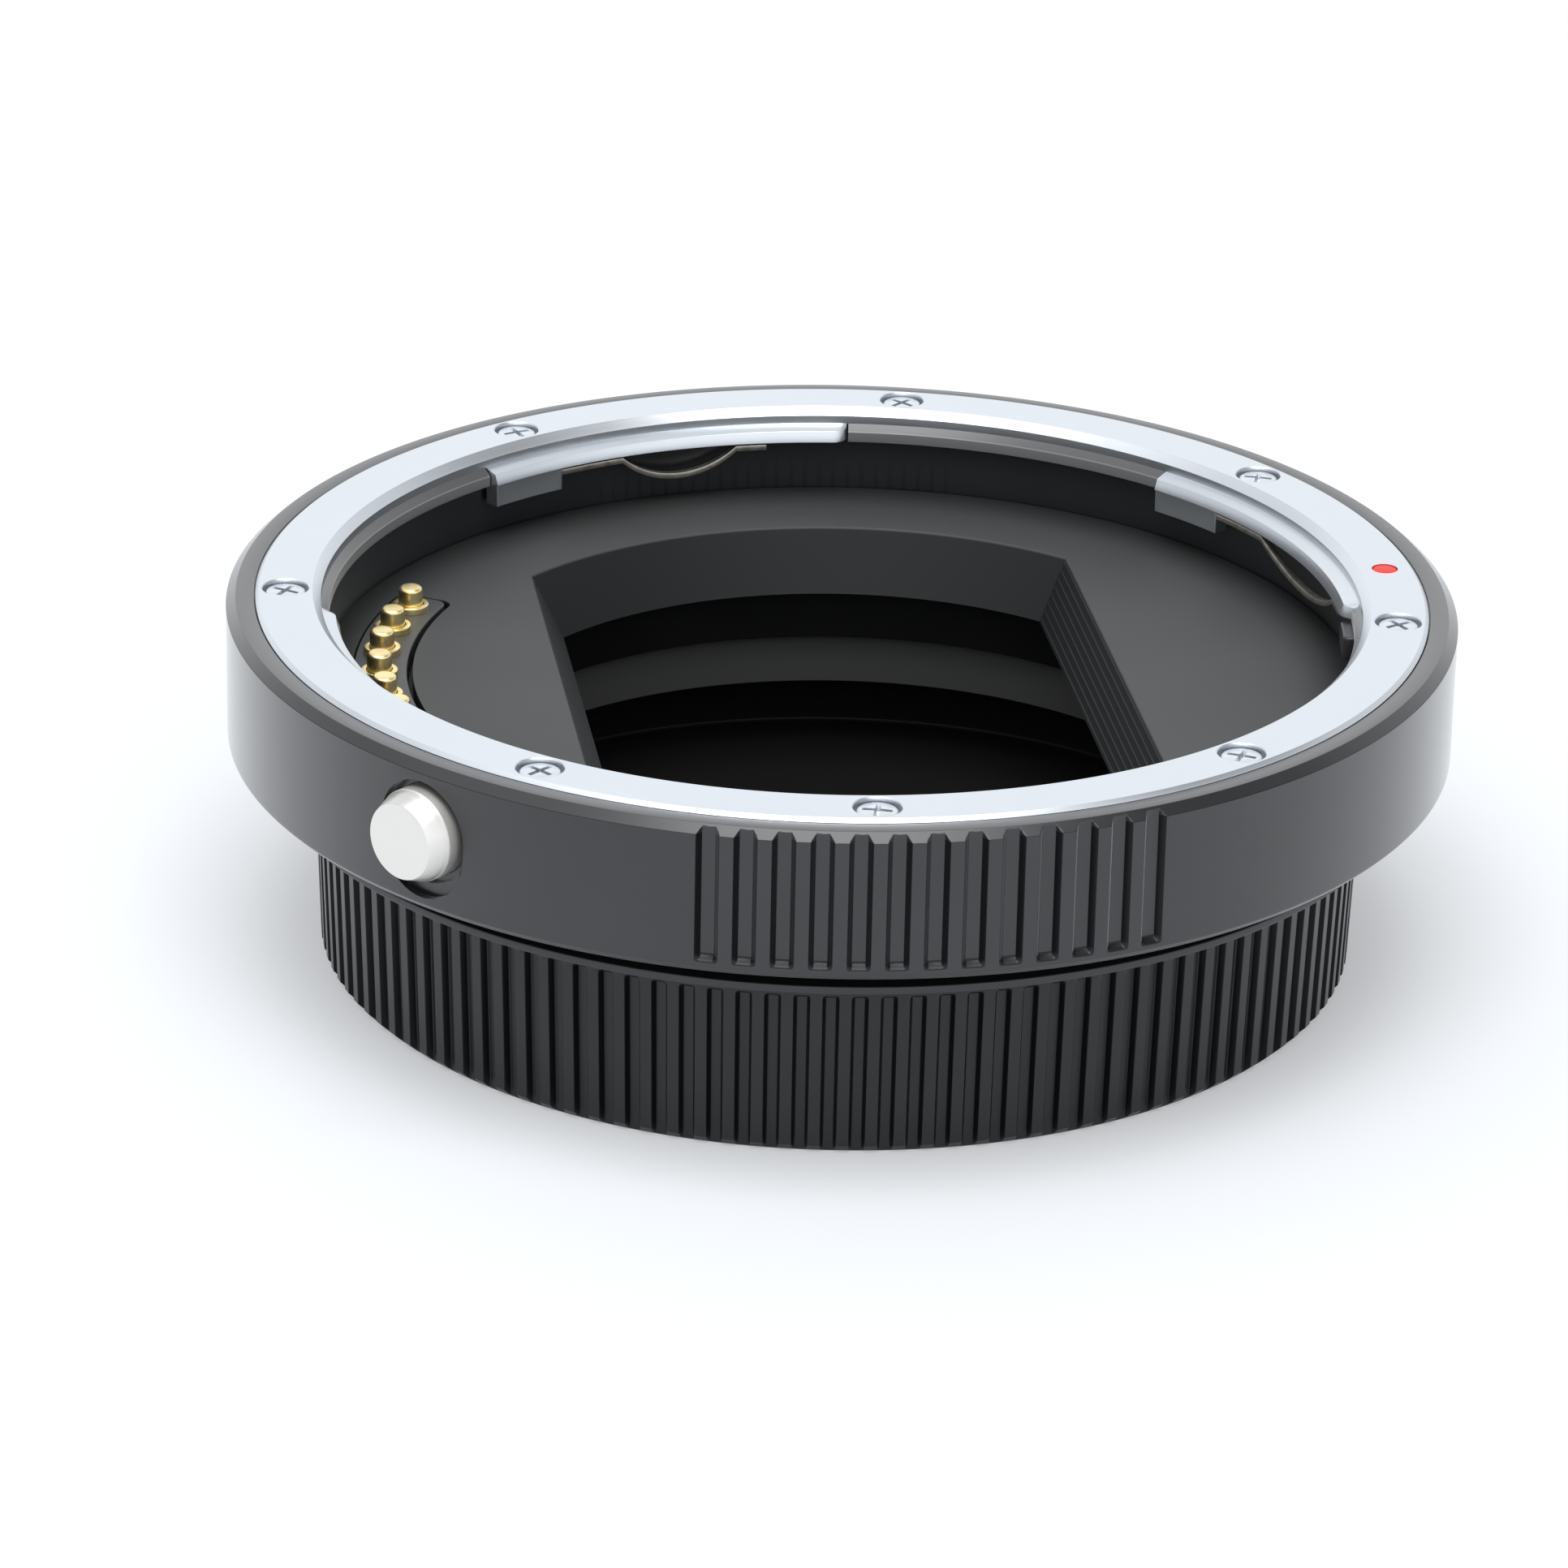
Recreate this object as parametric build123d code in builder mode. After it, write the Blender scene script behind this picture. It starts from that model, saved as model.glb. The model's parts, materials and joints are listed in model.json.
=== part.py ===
"""Lens mount adapter: a female lens bayonet on top, a male camera bayonet below, standing on its rear cap.

Lengths are millimetres, +Z is up, and the origin is on the optical axis at the bottom of the rear cap.
A heading is an angle about the axis in degrees, counted from the front (-Y) towards the right (+X).
"""

import os
from math import cos, degrees, radians, sin, sqrt

from build123d import *

# Fits shared by mating pieces
running_clearance = 0.05  # a moving piece in its bore, on the radius
seat_clearance = 0.08  # a fixed piece in its seat, on the radius
bore_clearance = 0.1  # a fixed ring inside the outer ring's bore, on the radius
shadow_gap = 0.2  # a moving piece in a plate it only passes through, on the radius
screw_clearance = 0.04  # a screw, pin or sleeve in its hole, on the radius

# Overall heights
cap_height = 11.35  # rear cap, from its bottom to its rim
cap_gap = 0.05  # running gap between the cap's rim and the rear seat
seat_spacing = 11.0  # from the rear seat to the lens seat
neck_height = 1.9  # from the rear seat to the outer ring's underside

# Outer ring
ring_radius = 36.75
ring_rim_width = 1.67  # from the wall to the flange's pocket
ring_step = 0.22  # the rim lies this far below the lens seat
ring_top_chamfer_width = 0.58
ring_top_chamfer_height = 0.5
ring_bottom_chamfer = 0.45
collar_ledge = 0.45  # slope from the flange's seat in to the collar
collar_wall = 0.65  # the collar inside the ring's bore
collar_depth = 2.1  # from the lens seat to the collar's underside

# Grip grooves, one field at the front and one at the back
grip_headings = (0, 180)
grip_groove_count = 13
grip_pitch = 3.333  # degrees
grip_groove_depth = 0.44
grip_groove_mouth = 1.35
grip_groove_floor = 0.76
grip_margin = 0.42  # from the end of a groove to the lower edge of the wall

# Lens flange
flange_thickness = 1.0
flange_face_width = 3.4
flange_outer_chamfer = 0.23
flange_inner_chamfer = 0.5

# Bayonet tabs: the headings of the free end and of the end with the foot, and the span of the leaf's bow
tabs = ((84.0, 130.6, 21.0), (171.0, 217.5, 14.5), (266.0, 314.0, 14.5), (353.0, 398.0, 21.0))
tab_reach = 1.1
tab_root = 0.6  # the tab under the plate
tab_thickness = 0.95
tab_slope_width = 0.5  # the inner face leans back by this much at the top
tab_tip_radius = 1.0  # at the free end
foot_span = 10.0  # degrees
foot_height = 1.4

# Leaf spring under each tab, which runs on from the foot
leaf_thickness = 0.4
leaf_gap = 0.1  # between a leaf and the tab above it
leaf_width = 0.5
leaf_inset = 0.12  # the leaf's inner edge behind the tab's inner edge
leaf_tongue_length = 1.5  # the tongue that sits in the foot
leaf_flat_span = 8.5  # degrees
leaf_end_span = 3.7  # degrees
leaf_bow_depth = 1.5

# Flange screws and index dot
flange_screw_headings = (-150, -95, -39, -5, 34.5, 75, 120, 165)
flange_screw_inset = 1.8  # from the flange's edge to a screw's axis
flange_head_radius = 1.2
flange_head_height = 0.5
flange_head_sink = 0.2
flange_head_pocket_radius = 1.38
flange_shank_radius = 0.7
flange_shank_length = 3.6
cross_length = 1.5
cross_width = 0.34
cross_depth = 0.3
dot_heading = 90
dot_inset = 1.85
dot_radius = 0.75
dot_depth = 0.4
dot_sink = 0.03

# Turn stop in the throat
stop_heading = 82
stop_reach = 1.3
stop_width = 2.8
stop_height = 1.45
stop_pin_radius = 0.55
stop_pin_length = 1.6

# Light baffle
floor_drop = 5.4  # from the lens seat to the baffle's floor
baffle_thickness = 1.0
opening_half_width = 16.85
opening_margin = 0.9  # from the opening's arc to the carrier's bore
funnel_height = 3.6
funnel_side_taper = 1.85
funnel_arc_taper = 2.45
funnel_wall = 0.9
ridge_count = 8
ridge_height = 0.13

# Contacts
contact_count = 8
contact_pitch = 7.5  # degrees
contact_heading = -90
contact_inset = 3.55  # from the baffle's edge to the contact circle
contact_travel = 1.0
contact_pin_radius = 0.75
contact_pin_dome = 0.25
contact_pin_rise = 1.5  # above the baffle's floor
contact_pin_spare = 0.35  # below a fully pressed pin
sleeve_rim_width = 0.12
sleeve_rim_height = 0.42
sleeve_wall = 0.2
sleeve_base = 0.25
sleeve_web = 1.05  # from the carrier's recess to the end of a sleeve
contact_block_inner_width = 1.65
contact_block_outer_width = 1.55
contact_block_inner_gap = 0.35  # between the block's inner side and the baffle's floor
contact_block_end = 2.1  # from the last contact to the block's end, along the circle
contact_block_corner = 0.8
contact_block_web = 0.8  # from a sleeve's end up to the block's underside

# Release button
button_heading = -48.4
button_drop = 4.33  # from the lens seat to the button's axis
button_travel = 1.2
button_radius = 2.72
button_face_radius = 2.25
button_proud = 1.75  # the end beyond the ring's wall
button_bevel_length = 1.27
button_head_length = 3.8
button_recess_gap = 0.43  # round the button, on the radius
button_recess_depth = 0.8
scoop_radius = 3.1  # a shallow scoop that lets a finger under the button
scoop_depth = 0.5
scoop_drop = 0.85  # from the button's axis to the scoop's
stem_radius = 1.1
stem_gap = 0.1  # between the pressed stem and the lock pin's back

# Lock pin, drawn down by the stem on a 45 degree ramp
lock_inset = 0.3  # the pin's axis inside the ring's bore
lock_radius = 1.2
lock_rise = 1.9  # above the baffle's floor
lock_web = 0.25  # from the carrier's recess to the end of the pin's hole

# Return springs
spring_turns = 3
spring_end_gap = 0.03
button_spring_wire = 0.12
button_spring_radius = 1.9
button_spring_length = 2.1
lock_spring_wire = 0.1
lock_spring_radius = 0.8
lock_spring_length = 1.9

# Rear carrier
carrier_shoulder = 2.1  # the plate beyond the ring's bore
carrier_margin = 1.0  # from the contact block to the carrier's bore
carrier_sleeve_step = 0.8
carrier_sleeve_wall = 0.9
carrier_sleeve_reach = 1.6  # below the rear seat
carrier_screw_count = 6
carrier_screw_inset = 1.2  # from the plate's edge
carrier_head_radius = 0.8
carrier_head_height = 0.6
carrier_shank_radius = 0.5
carrier_shank_length = 3.2

# Seal lip under the outer ring
lip_thickness = 0.52
lip_overhang = 0.9  # beyond the carrier's plate

# Rear bayonet
bayonet_flange_thickness = 1.15
bayonet_flange_width = 4.0
bayonet_tube_wall = 2.3
bayonet_depth = 5.0  # from the rear seat to the tube's end
lug_headings = (45, 135, 225, 315)
lug_reach = 2.3
lug_height = 1.6
lug_span = 40.0  # degrees
bayonet_screw_headings = (45, 135, 225, 315)
bayonet_screw_inset = 2.2  # from the bayonet flange's edge
bayonet_head_radius = 1.15
bayonet_head_height = 0.5
bayonet_head_sink = 0.1
bayonet_shank_radius = 0.65
bayonet_shank_length = 2.6

# Rear contacts
rear_block_width = 2.85
rear_block_height = 2.2
rear_block_end = 1.9  # from the last pad to the block's end, along the circle
rear_pad_inset = 1.4  # from the bayonet tube's inside to the pad circle
rear_pad_radius = 0.8
rear_pad_thickness = 0.4
rear_pad_proud = 0.1

# Rear cap
cap_lug_clearance = 0.3  # between a lug and the cap's wall
cap_wall = 2.02
cap_draft = 0.38  # the rim beyond the foot, on the radius
cap_floor_thickness = 1.6
cap_foot_chamfer = 0.5
cap_rib_count = 120
cap_groove_depth = 0.44
cap_groove_mouth = 0.95
cap_groove_floor = 0.6
cap_band = 1.4  # smooth band between the rim and the grooves
cap_tab_reach = 2.0
cap_tab_height = 1.6
cap_tab_gap = 0.15  # between a cap tab and the lug below it

# Heights that follow
rear_seat_z = cap_height + cap_gap
lens_seat_z = rear_seat_z + seat_spacing
lip_top_z = rear_seat_z + lip_thickness
ring_bottom_z = rear_seat_z + neck_height
ring_top_z = lens_seat_z - ring_step
wall_bottom_z = ring_bottom_z + ring_bottom_chamfer
wall_top_z = ring_top_z - ring_top_chamfer_height
flange_seat_z = lens_seat_z - flange_thickness
collar_bottom_z = lens_seat_z - collar_depth
tab_bottom_z = flange_seat_z - tab_thickness
foot_bottom_z = tab_bottom_z - foot_height
leaf_top_z = tab_bottom_z - leaf_gap
stop_top_z = collar_bottom_z - screw_clearance
floor_z = lens_seat_z - floor_drop
baffle_bottom_z = floor_z - baffle_thickness
funnel_end_z = floor_z - funnel_height
carrier_recess_z = rear_seat_z + bayonet_flange_thickness
carrier_sleeve_end_z = rear_seat_z - carrier_sleeve_reach
sleeve_bottom_z = carrier_recess_z + sleeve_web
contact_block_bottom_z = sleeve_bottom_z + contact_block_web
contact_pin_bottom_z = sleeve_bottom_z + sleeve_base + contact_travel + contact_pin_spare
button_z = lens_seat_z - button_drop
lock_top_z = floor_z + lock_rise
lock_hole_end_z = carrier_recess_z + lock_web
lock_bottom_z = lock_hole_end_z + lock_spring_length
bayonet_end_z = rear_seat_z - bayonet_depth
lug_top_z = bayonet_end_z + lug_height
rear_block_bottom_z = carrier_sleeve_end_z - rear_block_height
cap_tab_z = lug_top_z + cap_tab_gap
cap_groove_top_z = cap_height - cap_band

# Radii that follow
pocket_radius = ring_radius - ring_rim_width
flange_radius = pocket_radius - seat_clearance
face_inner_radius = flange_radius - flange_face_width
throat_radius = face_inner_radius - flange_inner_chamfer
collar_radius = throat_radius - collar_ledge
tab_inner_radius = throat_radius - tab_reach
tab_root_radius = throat_radius + tab_root
leaf_inner_radius = tab_inner_radius + leaf_inset
leaf_outer_radius = leaf_inner_radius + leaf_width
ring_bore_radius = collar_radius + collar_wall
baffle_radius = ring_bore_radius - bore_clearance
contact_circle = baffle_radius - contact_inset
contact_block_inner_radius = contact_circle - contact_block_inner_width
contact_block_outer_radius = contact_circle + contact_block_outer_width
sleeve_bore_radius = contact_pin_radius + running_clearance
sleeve_radius = sleeve_bore_radius + sleeve_wall
carrier_plate_radius = ring_bore_radius + carrier_shoulder
carrier_bore_radius = contact_block_inner_radius - carrier_margin
carrier_sleeve_radius = carrier_bore_radius - carrier_sleeve_step
opening_radius = carrier_bore_radius - opening_margin
lip_radius = carrier_plate_radius + lip_overhang
bayonet_bore_radius = carrier_sleeve_radius + bore_clearance
bayonet_tube_radius = bayonet_bore_radius + bayonet_tube_wall
bayonet_flange_radius = bayonet_tube_radius + bayonet_flange_width
lug_radius = bayonet_tube_radius + lug_reach
cap_bore_radius = lug_radius + cap_lug_clearance
cap_foot_radius = cap_bore_radius + cap_wall
cap_rim_radius = cap_foot_radius + cap_draft
lock_circle = ring_bore_radius - lock_inset
flange_screw_circle = flange_radius - flange_screw_inset
carrier_screw_circle = carrier_plate_radius - carrier_screw_inset
bayonet_screw_circle = bayonet_flange_radius - bayonet_screw_inset
rear_pad_circle = bayonet_bore_radius - rear_pad_inset

# Places along the button's axis, counted out from the optical axis
button_end = ring_radius + button_proud
button_back = button_end - button_head_length
button_bore_end = button_back - button_spring_length
stem_tip = lock_circle + button_travel + stem_gap


def math_angle(heading):
    """Turn a heading into an angle counted from +X."""
    return heading - 90


def place(radius, heading, z=0.0):
    """Give the point at a radius, a heading and a height."""
    return (radius * sin(radians(heading)), -radius * cos(radians(heading)), z)


def outward_plane(heading, z):
    """Give the plane on the axis that faces out along a heading, with its Y direction up."""
    return Plane(origin=(0, 0, z), x_dir=place(1, heading + 90), z_dir=place(1, heading))


def arc_degrees(length, radius):
    """Give the angle that a length takes up on a circle."""
    return degrees(length / radius)


def ring_sector(inner, outer, start, end, corner=0.0):
    """Make the face between two radii and two headings, with its corners rounded."""
    with BuildSketch() as sector:
        with BuildLine():
            CenterArc((0, 0), outer, math_angle(start), end - start)
            CenterArc((0, 0), inner, math_angle(start), end - start)
            Line(place(inner, start)[:2], place(outer, start)[:2])
            Line(place(inner, end)[:2], place(outer, end)[:2])
        make_face()
        if corner:
            fillet(sector.vertices(), corner)
    return sector.sketch


def cropped_circle(radius, half_width, z):
    """Make a circle at a height, cut off by two straight sides along Y."""
    with BuildSketch(Plane.XY.offset(z)) as cropped:
        Circle(radius)
        Rectangle(2 * half_width, 4 * radius, mode=Mode.INTERSECT)
    return cropped.sketch


def turned(*points):
    """Turn a closed outline of (radius, height) points about the axis."""
    with BuildPart() as body:
        with BuildSketch(Plane.XZ):
            with BuildLine():
                Polyline(*points, close=True)
            make_face()
        revolve(axis=Axis.Z)
    return body.part


def screw(head_radius, head_height, shank_radius, shank_length):
    """Make a screw that points down, with the top of its head at z = 0 and a cross recess."""
    with BuildPart() as body:
        Cylinder(head_radius, head_height, align=(Align.CENTER, Align.CENTER, Align.MAX))
        with Locations((0, 0, -head_height)):
            Cylinder(shank_radius, shank_length, align=(Align.CENTER, Align.CENTER, Align.MAX))
        with BuildSketch():
            Rectangle(cross_length, cross_width)
            Rectangle(cross_width, cross_length)
        extrude(amount=-cross_depth, mode=Mode.SUBTRACT)
    return body.part


def coil(radius, wire_radius, length):
    """Make a coil spring that stands on z = 0."""
    rise = length - 2 * wire_radius
    with BuildPart() as body:
        with BuildLine(Plane.XY.offset(wire_radius)) as path:
            Helix(pitch=rise / spring_turns, height=rise, radius=radius)
        with BuildSketch(Plane(origin=path.line @ 0, z_dir=path.line % 0)):
            RegularPolygon(wire_radius, 6)
        sweep(is_frenet=True)
    return body.part


def contact_spots(radius):
    """Give the places of the contacts on a circle."""
    first = contact_heading - (contact_count - 1) * contact_pitch / 2
    return [place(radius, first + index * contact_pitch) for index in range(contact_count)]


def contact_sector(inner, outer, end_length, radius, corner=0.0):
    """Make the curved outline of a contact block around the contacts."""
    half_span = (contact_count - 1) * contact_pitch / 2 + arc_degrees(end_length, radius)
    return ring_sector(inner, outer, contact_heading - half_span, contact_heading + half_span, corner)


button_plane = outward_plane(button_heading, button_z)
stop_plane = outward_plane(stop_heading, stop_top_z - stop_height / 2)

os.makedirs("parts", exist_ok=True)

# Outer ring: turned body with the flange's pocket, a collar notched for the tabs, grips, bores and holes
with BuildPart() as body_ring:
    add(
        turned(
            (ring_bore_radius, ring_bottom_z),
            (ring_radius - ring_bottom_chamfer, ring_bottom_z),
            (ring_radius, wall_bottom_z),
            (ring_radius, wall_top_z),
            (ring_radius - ring_top_chamfer_width, ring_top_z),
            (pocket_radius, ring_top_z),
            (pocket_radius, flange_seat_z),
            (throat_radius, flange_seat_z),
            (collar_radius, flange_seat_z - collar_ledge),
            (collar_radius, collar_bottom_z),
            (ring_bore_radius, collar_bottom_z),
        )
    )
    notch_margin = arc_degrees(seat_clearance, collar_radius)
    with BuildSketch(Plane.XY.offset(collar_bottom_z)):
        for tab_start, tab_end, _ in tabs:
            add(
                ring_sector(
                    tab_inner_radius,
                    tab_root_radius + seat_clearance,
                    tab_start - notch_margin,
                    tab_end + notch_margin,
                )
            )
    extrude(amount=flange_seat_z - collar_bottom_z, mode=Mode.SUBTRACT)
    for grip_heading in grip_headings:
        grip_range = (grip_groove_count - 1) * grip_pitch
        grip_start = math_angle(grip_heading) - grip_range / 2
        with BuildSketch(Plane.XY.offset(wall_bottom_z + grip_margin)):
            with PolarLocations(ring_radius, grip_groove_count, grip_start, grip_range, endpoint=True):
                Polygon(
                    (-grip_groove_depth, -grip_groove_floor / 2),
                    (grip_groove_depth, grip_groove_floor / 2 - grip_groove_mouth),
                    (grip_groove_depth, grip_groove_mouth - grip_groove_floor / 2),
                    (-grip_groove_depth, grip_groove_floor / 2),
                    align=None,
                )
        extrude(amount=seat_spacing, mode=Mode.SUBTRACT)
    with BuildSketch(button_plane.offset(button_bore_end)):
        Circle(button_radius + running_clearance)
    extrude(amount=button_end - button_bore_end, mode=Mode.SUBTRACT)
    with BuildSketch(button_plane.offset(ring_radius - button_recess_depth)):
        Circle(button_radius + button_recess_gap)
    extrude(amount=button_recess_depth + button_proud, mode=Mode.SUBTRACT)
    with BuildSketch(button_plane.offset(ring_radius - scoop_depth)):
        with Locations((0, -scoop_drop)):
            Circle(scoop_radius)
    extrude(amount=scoop_depth + button_proud, mode=Mode.SUBTRACT)
    with BuildSketch(button_plane.offset(lock_circle)):
        Circle(stem_radius + running_clearance)
    extrude(amount=button_bore_end - lock_circle, mode=Mode.SUBTRACT)
    with BuildSketch(Plane.XY.offset(ring_bottom_z)):
        with Locations(place(lock_circle, button_heading)):
            Circle(lock_radius + running_clearance)
    extrude(amount=lock_top_z + running_clearance - ring_bottom_z, mode=Mode.SUBTRACT)
    for screw_heading in flange_screw_headings:
        with Locations(place(flange_screw_circle, screw_heading, flange_seat_z)):
            Hole(flange_shank_radius + screw_clearance, flange_shank_length)
    with BuildSketch(Plane.XY.offset(ring_bottom_z)):
        carrier_screw_start = math_angle(button_heading + 180 / carrier_screw_count)
        with PolarLocations(carrier_screw_circle, carrier_screw_count, carrier_screw_start):
            Circle(carrier_shank_radius + screw_clearance)
    extrude(amount=carrier_shank_length, mode=Mode.SUBTRACT)
    with BuildSketch(stop_plane.offset(ring_bore_radius - bore_clearance)):
        Circle(stop_pin_radius + screw_clearance)
    extrude(amount=bore_clearance + stop_pin_length, mode=Mode.SUBTRACT)
body_ring.part.label = "body_ring"
export_step(body_ring.part, "parts/body_ring.step")

# Lens flange: turned plate with four sloped tabs, their feet, screw pockets and the dot's recess
leaf_circle = (leaf_inner_radius + leaf_outer_radius) / 2
tongue_span = arc_degrees(leaf_tongue_length, leaf_circle)
slot_span = arc_degrees(leaf_tongue_length + screw_clearance, leaf_circle)
with BuildPart() as lens_flange:
    add(
        turned(
            (flange_radius, flange_seat_z),
            (flange_radius, lens_seat_z - flange_outer_chamfer),
            (flange_radius - flange_outer_chamfer, lens_seat_z),
            (face_inner_radius, lens_seat_z),
            (throat_radius, lens_seat_z - flange_inner_chamfer),
            (throat_radius, flange_seat_z),
        )
    )
    for tab_start, tab_end, _ in tabs:
        foot_start = tab_end - foot_span
        with BuildSketch(Plane.XY.offset(tab_bottom_z)) as tab_sketch:
            add(ring_sector(tab_inner_radius, tab_root_radius, tab_start, tab_end))
            free_corner = place(tab_inner_radius, tab_start, tab_bottom_z)
            fillet(tab_sketch.vertices().sort_by_distance(free_corner)[0], tab_tip_radius)
        extrude(amount=tab_thickness)
        with BuildSketch(Plane.XY.offset(foot_bottom_z)):
            add(ring_sector(tab_inner_radius, throat_radius, foot_start, tab_end))
        extrude(amount=foot_height)
        with BuildSketch(Plane.XY.offset(leaf_top_z - leaf_thickness - screw_clearance)):
            add(
                ring_sector(
                    leaf_inner_radius - screw_clearance,
                    leaf_outer_radius + screw_clearance,
                    foot_start - slot_span,
                    foot_start + slot_span,
                )
            )
        extrude(amount=leaf_thickness + 2 * screw_clearance, mode=Mode.SUBTRACT)
    add(
        turned(
            (tab_inner_radius - tab_reach, tab_bottom_z),
            (tab_inner_radius, tab_bottom_z),
            (tab_inner_radius + tab_slope_width, flange_seat_z),
            (tab_inner_radius + tab_slope_width, lens_seat_z),
            (tab_inner_radius - tab_reach, lens_seat_z),
        ),
        mode=Mode.SUBTRACT,
    )
    for screw_heading in flange_screw_headings:
        with Locations(place(flange_screw_circle, screw_heading, lens_seat_z)):
            CounterBoreHole(
                flange_shank_radius + screw_clearance,
                flange_head_pocket_radius,
                flange_head_sink + flange_head_height,
                flange_thickness,
            )
    with Locations(place(flange_radius - dot_inset, dot_heading, lens_seat_z)):
        Hole(dot_radius + screw_clearance, dot_depth)
lens_flange.part.label = "lens_flange"
export_step(lens_flange.part, "parts/lens_flange.step")

# Index dot, let into the flange
with BuildPart() as index_dot:
    with Locations(place(flange_radius - dot_inset, dot_heading, lens_seat_z - dot_depth)):
        Cylinder(dot_radius, dot_depth - dot_sink, align=(Align.CENTER, Align.CENTER, Align.MIN))
index_dot.part.label = "index_dot"
export_step(index_dot.part, "parts/index_dot.step")

# Flange screws
with BuildPart() as flange_screws:
    for screw_heading in flange_screw_headings:
        with Locations(place(flange_screw_circle, screw_heading, lens_seat_z - flange_head_sink)):
            add(screw(flange_head_radius, flange_head_height, flange_shank_radius, flange_shank_length))
flange_screws.part.label = "flange_screws"
export_step(flange_screws.part, "parts/flange_screws.step")


def leaf(foot_start, bow_span):
    """Make a leaf spring: a strip that bows down, cut from its side view and bent round the throat."""
    bow_heading = foot_start - leaf_flat_span - bow_span / 2
    leaf_end = foot_start - leaf_flat_span - bow_span - leaf_end_span
    side_view = outward_plane(bow_heading, 0)
    tongue_x = leaf_circle * sin(radians(leaf_flat_span + bow_span / 2 + tongue_span))
    bow_x = leaf_circle * sin(radians(bow_span / 2))
    end_x = leaf_circle * sin(radians(bow_span / 2 + leaf_end_span))
    with BuildPart() as strip:
        with BuildSketch(side_view.offset(leaf_inner_radius / 2)):
            with BuildLine():
                for z in (leaf_top_z, leaf_top_z - leaf_thickness):
                    Line((tongue_x, z), (bow_x, z))
                    ThreePointArc((bow_x, z), (0, z - leaf_bow_depth), (-bow_x, z))
                    Line((-bow_x, z), (-end_x, z))
                Line((tongue_x, leaf_top_z), (tongue_x, leaf_top_z - leaf_thickness))
                Line((-end_x, leaf_top_z), (-end_x, leaf_top_z - leaf_thickness))
            make_face()
        extrude(amount=leaf_outer_radius)
        with BuildSketch(Plane.XY.offset(leaf_top_z - leaf_thickness - leaf_bow_depth)):
            add(ring_sector(leaf_inner_radius, leaf_outer_radius, leaf_end, foot_start + tongue_span))
        extrude(amount=leaf_bow_depth + leaf_thickness, mode=Mode.INTERSECT)
    return strip.part


# Leaf springs, one under each tab
with BuildPart() as tab_springs:
    for _, tab_end, bow_span in tabs:
        add(leaf(tab_end - foot_span, bow_span))
tab_springs.part.label = "tab_springs"
export_step(tab_springs.part, "parts/tab_springs.step")

# Turn stop: a block on the bore's wall with a pin into the outer ring
with BuildPart() as stop_block:
    with BuildSketch(stop_plane.offset(ring_bore_radius - stop_reach)):
        Rectangle(stop_width, stop_height)
    extrude(amount=stop_reach)
    with BuildSketch(Plane.XY.offset(stop_top_z - stop_height)):
        Circle(ring_bore_radius - screw_clearance)
    extrude(amount=stop_height, mode=Mode.INTERSECT)
    with BuildSketch(stop_plane.offset(ring_bore_radius - stop_reach / 2)):
        Circle(stop_pin_radius)
    extrude(amount=stop_reach / 2 + stop_pin_length - screw_clearance)
stop_block.part.label = "stop_block"
export_step(stop_block.part, "parts/stop_block.step")

# Light baffle: floor with a cropped round opening, whose funnel has light-trap ridges on its straight sides
funnel_radius = opening_radius - funnel_arc_taper
funnel_half_width = opening_half_width - funnel_side_taper
with BuildPart() as baffle:
    with BuildSketch(Plane.XY.offset(baffle_bottom_z)):
        Circle(baffle_radius)
    extrude(amount=baffle_thickness)
    loft(
        [
            cropped_circle(opening_radius + funnel_wall, opening_half_width + funnel_wall, floor_z),
            cropped_circle(funnel_radius + funnel_wall, funnel_half_width + funnel_wall, funnel_end_z),
        ],
        ruled=True,
    )
    loft(
        [
            cropped_circle(opening_radius, opening_half_width, floor_z),
            cropped_circle(funnel_radius, funnel_half_width, funnel_end_z),
        ],
        ruled=True,
        mode=Mode.SUBTRACT,
    )
    for side in (-1, 1):
        for ridge in range(ridge_count):
            share = (ridge + 0.5) / ridge_count
            ridge_x = opening_half_width - share * funnel_side_taper
            ridge_z = floor_z - share * funnel_height
            ridge_half_length = sqrt((opening_radius - share * funnel_arc_taper) ** 2 - ridge_x**2)
            with BuildSketch(Plane.XZ):
                Polygon(
                    (side * (ridge_x + ridge_height), ridge_z + ridge_height),
                    (side * (ridge_x - ridge_height), ridge_z),
                    (side * (ridge_x + ridge_height), ridge_z - ridge_height),
                    align=None,
                )
            extrude(amount=ridge_half_length, both=True)
    with BuildSketch(Plane.XY.offset(baffle_bottom_z)):
        add(
            contact_sector(
                contact_block_inner_radius - contact_block_inner_gap,
                contact_block_outer_radius + seat_clearance,
                contact_block_end + seat_clearance,
                contact_circle,
                contact_block_corner,
            )
        )
        with Locations(place(lock_circle, button_heading)):
            Circle(lock_radius + shadow_gap)
    extrude(amount=baffle_thickness, mode=Mode.SUBTRACT)
baffle.part.label = "baffle"
export_step(baffle.part, "parts/baffle.step")

# Contact block, seated in the carrier and standing in the baffle's cut-out
with BuildPart() as contact_block:
    with BuildSketch(Plane.XY.offset(contact_block_bottom_z)):
        add(
            contact_sector(
                contact_block_inner_radius,
                contact_block_outer_radius,
                contact_block_end,
                contact_circle,
                contact_block_corner,
            )
        )
        with Locations(*contact_spots(contact_circle)):
            Circle(sleeve_radius + screw_clearance, mode=Mode.SUBTRACT)
    extrude(amount=floor_z - contact_block_bottom_z)
contact_block.part.label = "contact_block"
export_step(contact_block.part, "parts/contact_block.step")

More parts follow.
